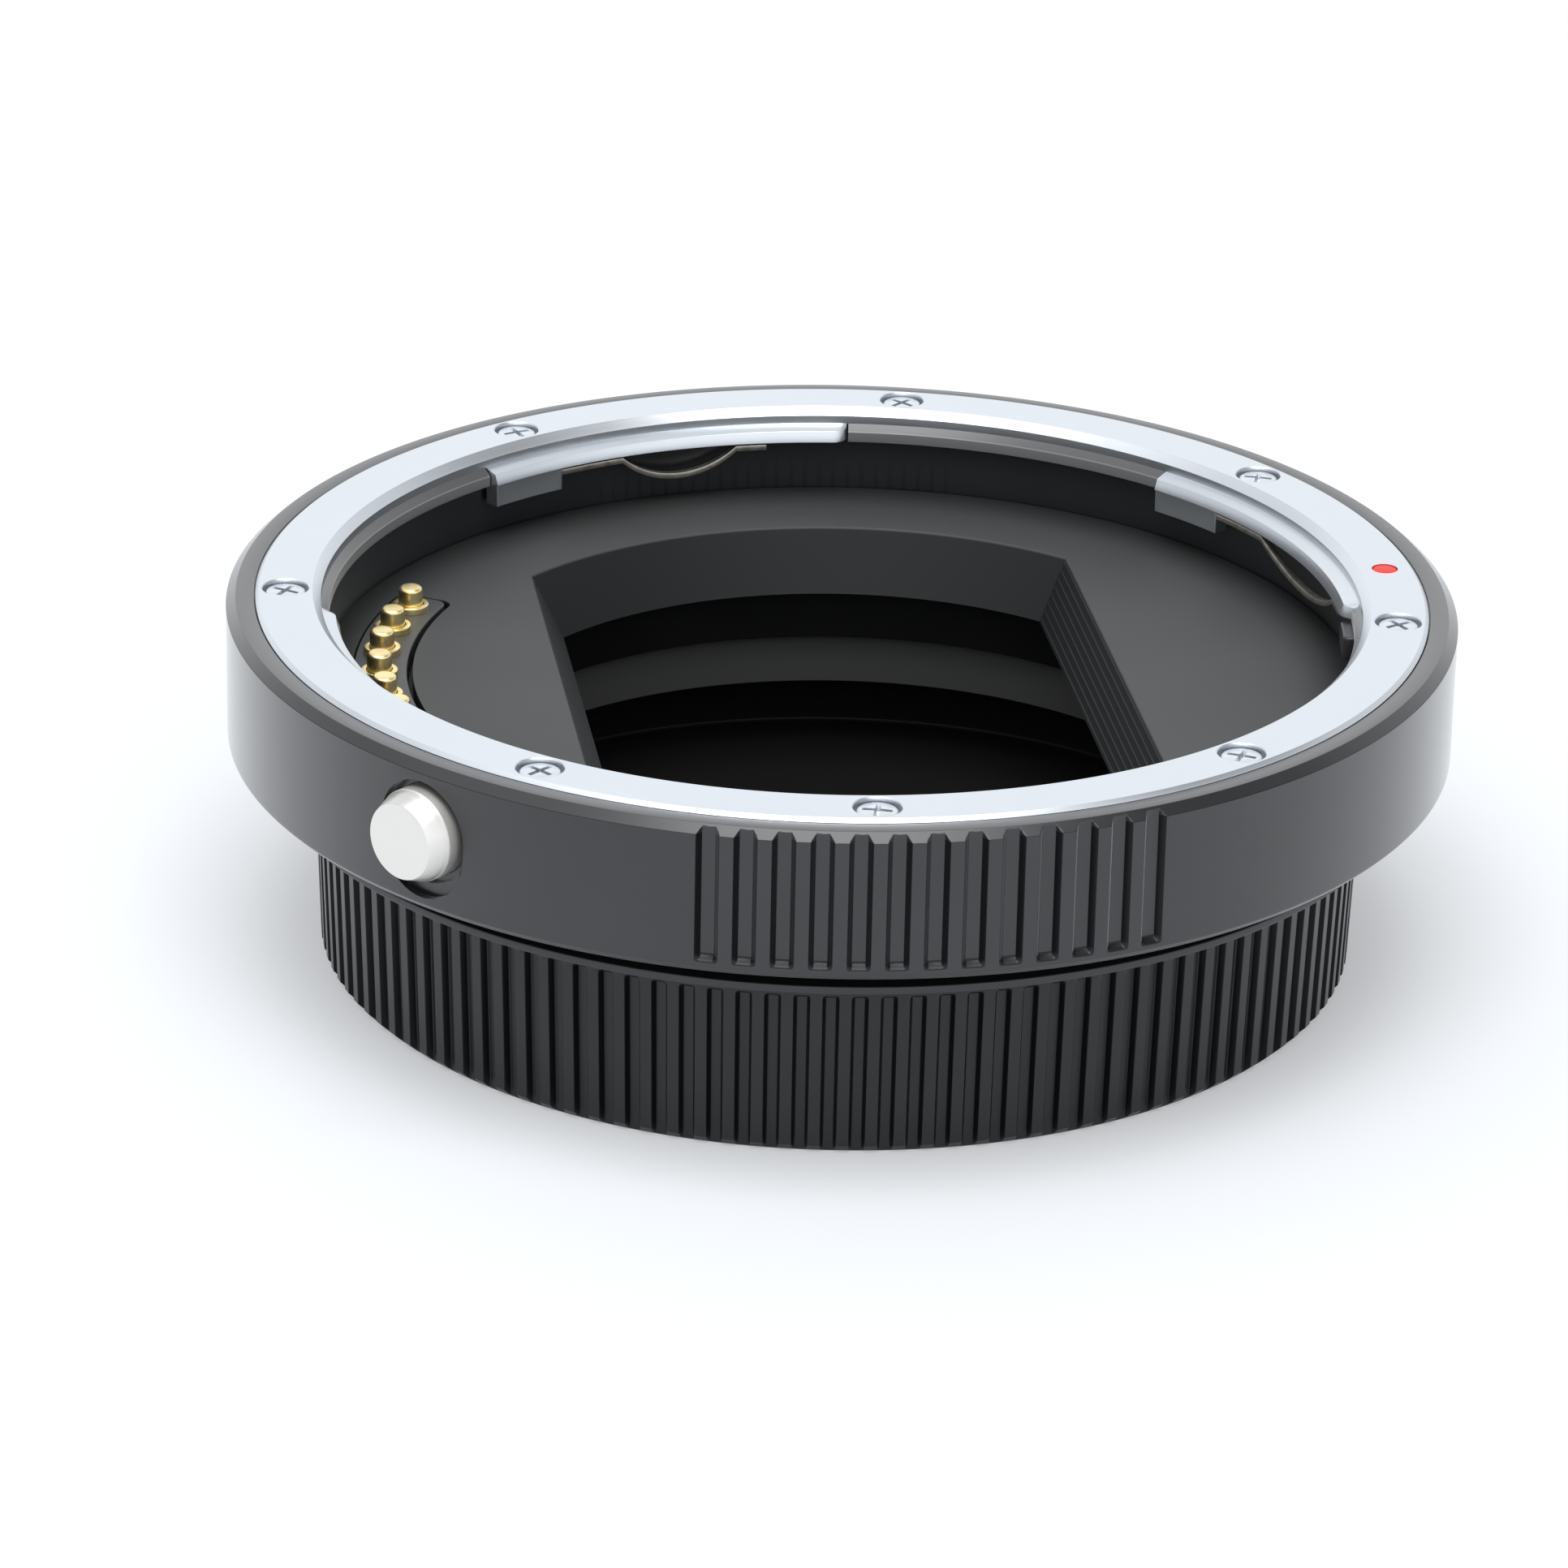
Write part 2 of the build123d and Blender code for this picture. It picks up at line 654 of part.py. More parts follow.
# Contact sleeves: closed barrels with a rim on the block
sleeve = turned(
    (0, sleeve_bottom_z),
    (sleeve_radius, sleeve_bottom_z),
    (sleeve_radius, floor_z),
    (sleeve_radius + sleeve_rim_width, floor_z),
    (sleeve_radius + sleeve_rim_width, floor_z + sleeve_rim_height),
    (sleeve_bore_radius, floor_z + sleeve_rim_height),
    (sleeve_bore_radius, sleeve_bottom_z + sleeve_base),
    (0, sleeve_bottom_z + sleeve_base),
)
with BuildPart() as contact_sleeves:
    with Locations(*contact_spots(contact_circle)):
        add(sleeve)
contact_sleeves.part.label = "contact_sleeves"
export_step(contact_sleeves.part, "parts/contact_sleeves.step")

# Sprung contact pins, each one a piece that moves by itself
for pin_number, (pin_x, pin_y, _) in enumerate(contact_spots(contact_circle), start=1):
    with BuildPart() as contact_pin:
        with Locations((pin_x, pin_y, contact_pin_bottom_z)):
            Cylinder(
                contact_pin_radius,
                floor_z + contact_pin_rise - contact_pin_bottom_z,
                align=(Align.CENTER, Align.CENTER, Align.MIN),
            )
        fillet(contact_pin.edges().group_by(Axis.Z)[-1], contact_pin_dome)
    contact_pin.part.label = f"contact_pin_{pin_number}"
    export_step(contact_pin.part, f"parts/contact_pin_{pin_number}.step")

# Release button: bevelled head and a plain stem
with BuildPart() as release_button:
    with BuildSketch(button_plane.offset(button_back)):
        Circle(button_radius)
    extrude(amount=button_head_length - button_bevel_length)
    with BuildSketch(button_plane.offset(button_end - button_bevel_length)):
        Circle(button_radius)
    with BuildSketch(button_plane.offset(button_end)):
        Circle(button_face_radius)
    loft()
    with BuildSketch(button_plane.offset(stem_tip)):
        Circle(stem_radius)
    extrude(amount=button_back - stem_tip)
release_button.part.label = "release_button"
export_step(release_button.part, "parts/release_button.step")

# Lock pin: a round pin whose back is cut away above a ramp, on which the stem's lower edge rides
ramp_sum = stem_tip + button_z - stem_radius - running_clearance
lock_side = Plane(origin=(0, 0, 0), x_dir=place(1, button_heading), z_dir=place(1, button_heading - 90))
with BuildPart() as lock_pin:
    with Locations(place(lock_circle, button_heading, lock_bottom_z)):
        Cylinder(
            lock_radius,
            lock_top_z - lock_bottom_z,
            align=(Align.CENTER, Align.CENTER, Align.MIN),
        )
    with BuildSketch(lock_side):
        cut_radius = lock_circle + 2 * lock_radius
        Polygon(
            (lock_circle, ramp_sum - lock_circle),
            (cut_radius, ramp_sum - cut_radius),
            (cut_radius, lens_seat_z),
            (lock_circle, lens_seat_z),
            align=None,
        )
    extrude(amount=2 * lock_radius, both=True, mode=Mode.SUBTRACT)
lock_pin.part.label = "lock_pin"
export_step(lock_pin.part, "parts/lock_pin.step")

# Return springs of the button and the lock pin
button_coil = coil(button_spring_radius, button_spring_wire, button_spring_length - 2 * spring_end_gap)
with BuildPart() as button_spring:
    add(button_plane.offset(button_bore_end + spring_end_gap).location * button_coil)
button_spring.part.label = "button_spring"
export_step(button_spring.part, "parts/button_spring.step")

with BuildPart() as lock_spring:
    with Locations(place(lock_circle, button_heading, lock_hole_end_z + spring_end_gap)):
        add(coil(lock_spring_radius, lock_spring_wire, lock_spring_length - 2 * spring_end_gap))
lock_spring.part.label = "lock_spring"
export_step(lock_spring.part, "parts/lock_spring.step")

# Rear carrier: hub in the ring's bore, plate under the ring and light sleeve, with seats for what it holds
with BuildPart() as rear_carrier:
    add(
        turned(
            (carrier_bore_radius, baffle_bottom_z),
            (baffle_radius, baffle_bottom_z),
            (baffle_radius, ring_bottom_z),
            (carrier_plate_radius, ring_bottom_z),
            (carrier_plate_radius, lip_top_z),
            (bayonet_flange_radius + seat_clearance, lip_top_z),
            (bayonet_flange_radius + seat_clearance, carrier_recess_z),
            (carrier_sleeve_radius, carrier_recess_z),
            (carrier_sleeve_radius, carrier_sleeve_end_z),
            (carrier_sleeve_radius - carrier_sleeve_wall, carrier_sleeve_end_z),
            (carrier_sleeve_radius - carrier_sleeve_wall, ring_bottom_z),
            (carrier_bore_radius, ring_bottom_z),
        )
    )
    with BuildSketch(Plane.XY.offset(contact_block_bottom_z)):
        add(
            contact_sector(
                contact_block_inner_radius - seat_clearance,
                contact_block_outer_radius + seat_clearance,
                contact_block_end + seat_clearance,
                contact_circle,
                contact_block_corner,
            )
        )
    extrude(amount=baffle_bottom_z - contact_block_bottom_z, mode=Mode.SUBTRACT)
    with BuildSketch(Plane.XY.offset(sleeve_bottom_z - screw_clearance)):
        with Locations(*contact_spots(contact_circle)):
            Circle(sleeve_radius + screw_clearance)
    extrude(amount=contact_block_web + screw_clearance, mode=Mode.SUBTRACT)
    with BuildSketch(Plane.XY.offset(lock_hole_end_z)):
        with Locations(place(lock_circle, button_heading)):
            Circle(lock_radius + running_clearance)
    extrude(amount=baffle_bottom_z - lock_hole_end_z, mode=Mode.SUBTRACT)
    with BuildSketch(Plane.XY.offset(lip_top_z)):
        with PolarLocations(carrier_screw_circle, carrier_screw_count, carrier_screw_start):
            Circle(carrier_head_radius + screw_clearance)
    extrude(amount=carrier_head_height, mode=Mode.SUBTRACT)
    with BuildSketch(Plane.XY.offset(lip_top_z)):
        with PolarLocations(carrier_screw_circle, carrier_screw_count, carrier_screw_start):
            Circle(carrier_shank_radius + screw_clearance)
    extrude(amount=ring_bottom_z - lip_top_z, mode=Mode.SUBTRACT)
    with BuildSketch(Plane.XY.offset(carrier_recess_z)):
        with Locations(*[place(bayonet_screw_circle, heading) for heading in bayonet_screw_headings]):
            Circle(bayonet_shank_radius + screw_clearance)
    extrude(amount=bayonet_shank_length, mode=Mode.SUBTRACT)
rear_carrier.part.label = "rear_carrier"
export_step(rear_carrier.part, "parts/rear_carrier.step")

# Carrier screws, driven up into the outer ring
carrier_screw = screw(carrier_head_radius, carrier_head_height, carrier_shank_radius, carrier_shank_length)
with BuildPart() as carrier_screws:
    for index in range(carrier_screw_count):
        screw_heading = button_heading + (index + 0.5) * 360 / carrier_screw_count
        with Locations(Location(place(carrier_screw_circle, screw_heading, lip_top_z), (180, 0, 0))):
            add(carrier_screw)
carrier_screws.part.label = "carrier_screws"
export_step(carrier_screws.part, "parts/carrier_screws.step")

# Seal lip under the carrier's plate
with BuildPart() as seal_lip:
    with BuildSketch(Plane.XY.offset(rear_seat_z)):
        Circle(lip_radius)
        Circle(bayonet_flange_radius + seat_clearance, mode=Mode.SUBTRACT)
    extrude(amount=lip_thickness)
seal_lip.part.label = "seal_lip"
export_step(seal_lip.part, "parts/seal_lip.step")

# Rear bayonet: flange, tube and four lugs
with BuildPart() as rear_bayonet:
    add(
        turned(
            (bayonet_bore_radius, bayonet_end_z),
            (bayonet_tube_radius, bayonet_end_z),
            (bayonet_tube_radius, rear_seat_z),
            (bayonet_flange_radius, rear_seat_z),
            (bayonet_flange_radius, carrier_recess_z),
            (bayonet_bore_radius, carrier_recess_z),
        )
    )
    with BuildSketch(Plane.XY.offset(bayonet_end_z)):
        for lug_heading in lug_headings:
            add(
                ring_sector(
                    bayonet_tube_radius - bayonet_tube_wall / 2,
                    lug_radius,
                    lug_heading - lug_span / 2,
                    lug_heading + lug_span / 2,
                )
            )
    extrude(amount=lug_height)
    for screw_heading in bayonet_screw_headings:
        with Locations(Location(place(bayonet_screw_circle, screw_heading, rear_seat_z), (180, 0, 0))):
            CounterBoreHole(
                bayonet_shank_radius + screw_clearance,
                bayonet_head_radius + screw_clearance,
                bayonet_head_sink + bayonet_head_height,
                bayonet_flange_thickness,
            )
rear_bayonet.part.label = "rear_bayonet"
export_step(rear_bayonet.part, "parts/rear_bayonet.step")

# Bayonet screws, driven up into the carrier
bayonet_screw = screw(bayonet_head_radius, bayonet_head_height, bayonet_shank_radius, bayonet_shank_length)
bayonet_head_z = rear_seat_z + bayonet_head_sink
with BuildPart() as bayonet_screws:
    for screw_heading in bayonet_screw_headings:
        with Locations(Location(place(bayonet_screw_circle, screw_heading, bayonet_head_z), (180, 0, 0))):
            add(bayonet_screw)
bayonet_screws.part.label = "bayonet_screws"
export_step(bayonet_screws.part, "parts/bayonet_screws.step")

# Rear contact block inside the bayonet tube, under the carrier's sleeve
rear_block_outer_radius = bayonet_bore_radius - screw_clearance
with BuildPart() as rear_contact_block:
    with BuildSketch(Plane.XY.offset(rear_block_bottom_z)):
        add(
            contact_sector(
                rear_block_outer_radius - rear_block_width,
                rear_block_outer_radius,
                rear_block_end,
                rear_pad_circle,
            )
        )
    extrude(amount=rear_block_height)
    with BuildSketch(Plane.XY.offset(rear_block_bottom_z)):
        with Locations(*contact_spots(rear_pad_circle)):
            Circle(rear_pad_radius + screw_clearance)
    extrude(amount=rear_pad_thickness - rear_pad_proud, mode=Mode.SUBTRACT)
rear_contact_block.part.label = "rear_contact_block"
export_step(rear_contact_block.part, "parts/rear_contact_block.step")

# Rear contact pads
with BuildPart() as rear_contact_pads:
    with BuildSketch(Plane.XY.offset(rear_block_bottom_z - rear_pad_proud)):
        with Locations(*contact_spots(rear_pad_circle)):
            Circle(rear_pad_radius)
    extrude(amount=rear_pad_thickness)
rear_contact_pads.part.label = "rear_contact_pads"
export_step(rear_contact_pads.part, "parts/rear_contact_pads.step")


def groove_section(z):
    """Make a cap groove's trapezoid section at a height, on the front side."""
    land_radius = cap_foot_radius + cap_draft * z / cap_height
    spread = cap_groove_mouth - cap_groove_floor
    with BuildSketch(Plane.XY.offset(z)) as section:
        with Locations(place(land_radius, 0)):
            Polygon(
                (-cap_groove_floor / 2, cap_groove_depth),
                (cap_groove_floor / 2, cap_groove_depth),
                (cap_groove_floor / 2 + spread, -cap_groove_depth),
                (-cap_groove_floor / 2 - spread, -cap_groove_depth),
                align=None,
            )
    return section.sketch


# Rear cap: a cup with a ribbed, slightly tapered wall and four inner tabs over the bayonet's lugs
with BuildPart() as cap_groove:
    loft([groove_section(-cap_foot_chamfer), groove_section(cap_groove_top_z)], ruled=True)
foot_slope = cap_draft / cap_height
with BuildPart() as rear_cap:
    add(
        turned(
            (0, 0),
            (cap_foot_radius - cap_foot_chamfer, 0),
            (cap_foot_radius + foot_slope * cap_foot_chamfer, cap_foot_chamfer),
            (cap_rim_radius, cap_height),
            (cap_bore_radius, cap_height),
            (cap_bore_radius, cap_floor_thickness),
            (0, cap_floor_thickness),
        )
    )
    with PolarLocations(0, cap_rib_count):
        add(cap_groove.part, mode=Mode.SUBTRACT)
    with BuildSketch(Plane.XY.offset(cap_tab_z)):
        for lug_heading in lug_headings:
            add(
                ring_sector(
                    cap_bore_radius - cap_tab_reach,
                    cap_bore_radius + cap_wall / 4,
                    lug_heading - lug_span / 2,
                    lug_heading + lug_span / 2,
                )
            )
    extrude(amount=cap_tab_height)
rear_cap.part.label = "rear_cap"
export_step(rear_cap.part, "parts/rear_cap.step")
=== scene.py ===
"""Looks of a lens mount adapter that stands on its ribbed rear cap.

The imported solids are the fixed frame. Each piece that shows is remade here as a fine mesh of the same
form, and every finish is a procedural material. Lengths in the classes are millimetres. A heading is an
angle about the optical axis in degrees, counted from the front (-Y) towards the right (+X).
"""

import json
import logging
import math
from dataclasses import dataclass, field
from enum import Enum
from typing import Any, Iterable, Sequence

import bmesh
import bpy
import numpy as np
from mathutils import Matrix, Vector

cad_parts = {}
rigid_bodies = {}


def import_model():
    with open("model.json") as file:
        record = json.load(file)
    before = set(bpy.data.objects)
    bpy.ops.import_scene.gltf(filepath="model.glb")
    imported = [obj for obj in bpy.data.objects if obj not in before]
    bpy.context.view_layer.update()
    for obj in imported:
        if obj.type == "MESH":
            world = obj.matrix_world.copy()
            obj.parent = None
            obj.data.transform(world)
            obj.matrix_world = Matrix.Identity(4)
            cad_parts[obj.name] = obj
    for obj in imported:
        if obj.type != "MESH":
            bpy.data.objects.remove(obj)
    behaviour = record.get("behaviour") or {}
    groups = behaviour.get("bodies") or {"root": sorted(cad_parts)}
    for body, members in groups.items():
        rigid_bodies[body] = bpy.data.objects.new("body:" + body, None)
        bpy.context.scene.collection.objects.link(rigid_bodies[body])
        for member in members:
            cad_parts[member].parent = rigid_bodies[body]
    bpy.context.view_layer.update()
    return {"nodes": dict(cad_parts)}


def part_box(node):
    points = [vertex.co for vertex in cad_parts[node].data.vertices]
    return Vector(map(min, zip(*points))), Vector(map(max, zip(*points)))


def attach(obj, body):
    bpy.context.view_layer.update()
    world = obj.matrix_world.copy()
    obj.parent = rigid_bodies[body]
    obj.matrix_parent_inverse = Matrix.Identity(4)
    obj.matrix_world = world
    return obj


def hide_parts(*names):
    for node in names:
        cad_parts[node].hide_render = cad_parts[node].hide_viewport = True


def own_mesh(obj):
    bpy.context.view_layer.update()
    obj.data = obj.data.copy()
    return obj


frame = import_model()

LOG = logging.getLogger("adapter")
MM = 0.001
SMOOTH_ANGLE = math.radians(32)
FIXED = "adapter"
PAST = 1.0  # a cutter runs this far past the face that it cuts
MID_TONES = (0.3, 0.7)  # the range of a noise that spreads over both tones of a finish

Colour = tuple[float, float, float]
Corner = tuple[float, float, float]
Place = tuple[float, float, float]


class Sock:
    """A shader socket that takes part in Python arithmetic."""

    def __init__(self, graph: "Graph", socket: bpy.types.NodeSocket) -> None:
        """Wrap one output socket of a graph."""
        self.graph = graph
        self.socket = socket

    def __add__(self, other: "Sock | float") -> "Sock":
        """Add a value or a socket."""
        return self.graph.maths("ADD", self, other)

    __radd__ = __add__

    def __sub__(self, other: "Sock | float") -> "Sock":
        """Take a value or a socket away."""
        return self.graph.maths("SUBTRACT", self, other)

    def __rsub__(self, other: "Sock | float") -> "Sock":
        """Take this socket away from a value."""
        return self.graph.maths("SUBTRACT", other, self)

    def __mul__(self, other: "Sock | float") -> "Sock":
        """Multiply by a value or a socket."""
        return self.graph.maths("MULTIPLY", self, other)

    __rmul__ = __mul__

    def __truediv__(self, other: "Sock | float") -> "Sock":
        """Divide by a value or a socket."""
        return self.graph.maths("DIVIDE", self, other)

    def __rtruediv__(self, other: "Sock | float") -> "Sock":
        """Divide a value by this socket."""
        return self.graph.maths("DIVIDE", other, self)

    def __pow__(self, other: "Sock | float") -> "Sock":
        """Raise to a power."""
        return self.graph.maths("POWER", self, other)

    def __or__(self, other: "Sock | float") -> "Sock":
        """Give the larger of the two."""
        return self.graph.maths("MAXIMUM", self, other)

    __ror__ = __or__


class Graph:
    """The node tree of one material or of the world."""

    def __init__(self, tree: bpy.types.NodeTree) -> None:
        """Start from an empty tree."""
        tree.nodes.clear()
        self.tree = tree

    def node(
        self,
        kind: str,
        settings: dict[str, Any] | None = None,
        inputs: dict[str | int, Any] | None = None,
        output: str | int = 0,
    ) -> Sock:
        """Add a node.

        Args:
            kind: the node's type.
            settings: its properties, set first. "stops" holds a ramp's (place, colour) pairs.
            inputs: values or sockets for its inputs, by name or number.
            output: the output that is handed back.

        Returns:
            The chosen output.
        """
        made = self.tree.nodes.new(kind)
        for name, value in (settings or {}).items():
            if name == "stops":
                self.set_stops(made.color_ramp, value)
            else:
                setattr(made, name, value)
        for name, value in (inputs or {}).items():
            if isinstance(value, Sock):
                self.tree.links.new(value.socket, made.inputs[name])
            else:
                made.inputs[name].default_value = value
        return Sock(self, made.outputs[output]) if made.outputs else Sock(self, None)

    @staticmethod
    def set_stops(ramp: bpy.types.ColorRamp, stops: Sequence[tuple[float, Colour]]) -> None:
        """Give a colour ramp its stops."""
        while len(ramp.elements) < len(stops):
            ramp.elements.new(1.0)
        for element, (position, colour) in zip(ramp.elements, stops):
            element.position = position
            element.color = (*colour, 1.0)

    def maths(self, operation: str, first: Sock | float, second: Sock | float) -> Sock:
        """Add a Math node."""
        return self.node("ShaderNodeMath", {"operation": operation}, {0: first, 1: second})

    def blend(self, share: Sock | float, first: Colour | Sock, second: Colour | Sock) -> Sock:
        """Mix two colours by a share."""
        ends = [end if isinstance(end, Sock) else (*end, 1.0) for end in (first, second)]
        return self.node("ShaderNodeMix", {"data_type": "RGBA"}, {0: share, 6: ends[0], 7: ends[1]}, 2)

    def point(self) -> Sock:
        """Give the place on the piece, in metres."""
        return self.node("ShaderNodeTexCoord", output="Object")

    def axes(self, point: Sock) -> tuple[Sock, Sock, Sock]:
        """Split a place into x, y and z."""
        first = self.node("ShaderNodeSeparateXYZ", inputs={0: point})
        outputs = first.socket.node.outputs
        return first, Sock(self, outputs[1]), Sock(self, outputs[2])

    def noise(self, point: Sock, size_mm: float, detail: float = 2.0, rough: float = 0.5) -> Sock:
        """Give noise with features of about a size."""
        inputs = {"Vector": point, "Scale": 1.0 / (size_mm * MM), "Detail": detail, "Roughness": rough}
        return self.node("ShaderNodeTexNoise", None, inputs)

    def line_noise(self, along: Sock, size_mm: float, detail: float = 2.0) -> Sock:
        """Give noise that changes along one length alone."""
        inputs = {"W": along, "Scale": 1.0 / (size_mm * MM), "Detail": detail}
        return self.node("ShaderNodeTexNoise", {"noise_dimensions": "1D"}, inputs)

    def step(self, value: Sock, low: float, high: float) -> Sock:
        """Give a smooth step from 0 at low to 1 at high."""
        inputs = {"Value": value, "From Min": low, "From Max": high}
        return self.node("ShaderNodeMapRange", {"interpolation_type": "SMOOTHSTEP"}, inputs)

    def bump(self, height: Sock, depth_mm: float, strength: float = 1.0) -> Sock:
        """Turn a height from 0 to 1 into a normal."""
        return self.node(
            "ShaderNodeBump", None, {"Height": height, "Distance": depth_mm * MM, "Strength": strength}
        )

    def principled(self, inputs: dict[str, Any]) -> Sock:
        """Add the surface shader."""
        return self.node("ShaderNodeBsdfPrincipled", None, inputs)


@dataclass(frozen=True)
class Finish:
    """A finish that builds its own procedural material."""

    name: str

    def material(self) -> bpy.types.Material:
        """Give the material, made once."""
        made = bpy.data.materials.get(self.name)
        if made is None:
            made = bpy.data.materials.new(self.name)
            made.use_nodes = True
            graph = Graph(made.node_tree)
            graph.node("ShaderNodeOutputMaterial", None, {"Surface": self.surface(graph)})
        return made

    def surface(self, graph: Graph) -> Sock:
        """Build the shader."""
        raise NotImplementedError


@dataclass(frozen=True)
class PaintedLightZone:
    """A part of a piece, between two radii and two heights, whose colour and gloss are changed to paint
    light or shade onto it.
    """

    colour: Colour
    radii: tuple[float, float] = (-1.0, 100.0)
    heights: tuple[float, float] = (-1.0, 100.0)
    soft: float = 0.03
    taper: float = 0.0
    gloss: float = 1.0

    def within(self, graph: Graph, value: Sock, limits: tuple[float, float]) -> Sock:
        """Give 1 between two limits, with soft ends."""
        rise, fall = (
            graph.step(value, (limit - self.soft) * MM, (limit + self.soft) * MM) for limit in limits
        )
        return rise * (1 - fall)

    def share(self, graph: Graph) -> Sock:
        """Give 1 inside this painted patch and 0 outside it."""
        x, y, z = graph.axes(graph.point())
        radius = (x * x + y * y) ** 0.5 - self.taper * z
        return self.within(graph, radius, self.radii) * self.within(graph, z, self.heights)


@dataclass(frozen=True)
class BlackFinish(Finish):
    """A dark satin skin: anodised metal, moulded plastic or paint, with cloudy tone, fine grain and zones
    of painted light and shade.
    """

    dark: Colour = (0.006, 0.0063, 0.0075)
    light: Colour = (0.010, 0.0105, 0.012)
    roughness: float = 0.3
    roughness_spread: float = 0.08
    grain_mm: float = 0.09
    grain_depth_mm: float = 0.004
    cloud_mm: float = 6.0
    specular: float = 0.5
    specular_tint: Colour = (0.92, 0.95, 1.0)
    coat: float = 0.0
    sheen: float = 0.0
    sheen_roughness: float = 0.3
    grain_share: float = 0.45
    painted_light_zones: tuple[PaintedLightZone, ...] = ()

    def surface(self, graph: Graph) -> Sock:
        """Build the shader from a cloud, a grain and the zones of painted light and shade."""
        point = graph.point()
        grain = graph.noise(point, self.grain_mm, 3.0, 0.6)
        cloud = graph.noise(point, self.cloud_mm, 4.0)
        mottle = self.grain_share * grain + (1 - self.grain_share) * cloud
        colour = graph.blend(graph.step(mottle, *MID_TONES), self.dark, self.light)
        coat: Sock | float = self.coat
        # Each zone paints light or shade: it swaps in its own colour and takes away part of the coat.
        for painted_zone in self.painted_light_zones:
            share = painted_zone.share(graph)
            colour = graph.blend(share, colour, painted_zone.colour)
            coat = coat * (1 - (1 - painted_zone.gloss) * share)
        return graph.principled(
            {
                "Base Color": colour,
                "Roughness": self.roughness + self.roughness_spread * (mottle - 0.5),
                "Specular IOR Level": self.specular,
                "Specular Tint": (*self.specular_tint, 1.0),
                "Coat Weight": coat,
                "Coat Roughness": self.roughness,
                "Sheen Weight": self.sheen,
                "Sheen Roughness": self.sheen_roughness,
                "Normal": graph.bump(grain, self.grain_depth_mm, 0.5),
            }
        )


@dataclass(frozen=True)
class TurnedSteel(Finish):
    """Bright metal off a lathe, with fine rings about the optical axis."""

    dark: Colour = (0.69, 0.72, 0.76)
    light: Colour = (0.725, 0.755, 0.798)
    roughness: float = 0.34
    ring_mm: float = 0.06
    ring_depth_mm: float = 0.001
    ring_share: float = 0.6
    cloud_mm: float = 5.0
    black_inside: float = -1.0
    black_colour: Colour = (0.06, 0.06, 0.061)
    black_more: float = 0.3
    dull_outside: float = 100.0
    dull_more: float = 0.25
    limit_soft: float = 0.01

    def radius(self, graph: Graph) -> Sock:
        """Give the distance from the axis that the piece was turned on."""
        x, y, _ = graph.axes(graph.point())
        return (x * x + y * y) ** 0.5

    def surface(self, graph: Graph) -> Sock:
        """Build the shader from lathe rings and a faint cloud."""
        rings = graph.line_noise(self.radius(graph), self.ring_mm, 3.0)
        cloud = graph.noise(graph.point(), self.cloud_mm, 3.0)
        tone = self.ring_share * rings + (1 - self.ring_share) * cloud
        bright = self.beyond(graph, self.black_inside)
        dull = self.dull_more * self.beyond(graph, self.dull_outside)
        colour = graph.blend(graph.step(tone, *MID_TONES), self.dark, self.light)
        roughness = self.roughness + 0.1 * (rings - 0.5) + 0.05 * (cloud - 0.5)
        return graph.principled(
            {
                "Base Color": graph.blend(bright, self.black_colour, colour),
                "Metallic": bright,
                "Roughness": roughness + self.black_more * (1 - bright) + dull,
                "Normal": graph.bump(rings, self.ring_depth_mm, 0.4),
            }
        )

    def beyond(self, graph: Graph, limit: float) -> Sock:
        """Give 1 outside a radius and 0 inside it."""
        soft = self.limit_soft
        return graph.step(self.radius(graph), (limit - soft) * MM, (limit + soft) * MM)


@dataclass(frozen=True)
class ButtonSteel(TurnedSteel):
    """Bright metal turned about the release button's own axis."""

    heading: float = 0.0
    height: float = 0.0

    def radius(self, graph: Graph) -> Sock:
        """Give the distance from the button's axis."""
        x, y, z = graph.axes(graph.point())
        turn = math.radians(self.heading)
        across = math.cos(turn) * x + math.sin(turn) * y
        rise = z - self.height * MM
        return (across * across + rise * rise) ** 0.5


@dataclass(frozen=True)
class PlainMetal(Finish):
    """Plated or drawn metal with a soft streak and a little tarnish."""

    dark: Colour = (0.45, 0.46, 0.48)
    light: Colour = (0.72, 0.73, 0.75)
    roughness: float = 0.25
    streak_mm: float = 0.5
    grain_mm: float = 0.05
    grain_depth_mm: float = 0.002

    def surface(self, graph: Graph) -> Sock:
        """Build the shader from streaks and grain."""
        point = graph.point()
        streak = graph.noise(point, self.streak_mm, 4.0, 0.6)
        grain = graph.noise(point, self.grain_mm, 2.0)
        return graph.principled(
            {
                "Base Color": graph.blend(graph.step(streak, 0.25, 0.65), self.dark, self.light),
                "Metallic": 1.0,
                "Roughness": self.roughness + 0.16 * (streak - 0.5) + 0.06 * (grain - 0.5),
                "Normal": graph.bump(grain, self.grain_depth_mm, 0.5),
            }
        )


@dataclass(frozen=True)
class Enamel(Finish):
    """Paint filled into a small recess."""

    dark: Colour = (0.80, 0.040, 0.030)
    light: Colour = (0.92, 0.055, 0.042)
    roughness: float = 0.4
    specular: float = 0.12
    cloud_mm: float = 0.6
    ripple_mm: float = 0.01

    def surface(self, graph: Graph) -> Sock:
        """Build the shader from a cloud and brush ripples."""
        cloud = graph.noise(graph.point(), self.cloud_mm, 3.0)
        return graph.principled(
            {
                "Base Color": graph.blend(graph.step(cloud, *MID_TONES), self.dark, self.light),
                "Roughness": self.roughness + 0.2 * (cloud - 0.5),
                "Specular IOR Level": self.specular,
                "Normal": graph.bump(cloud, self.ripple_mm, 0.4),
            }
        )


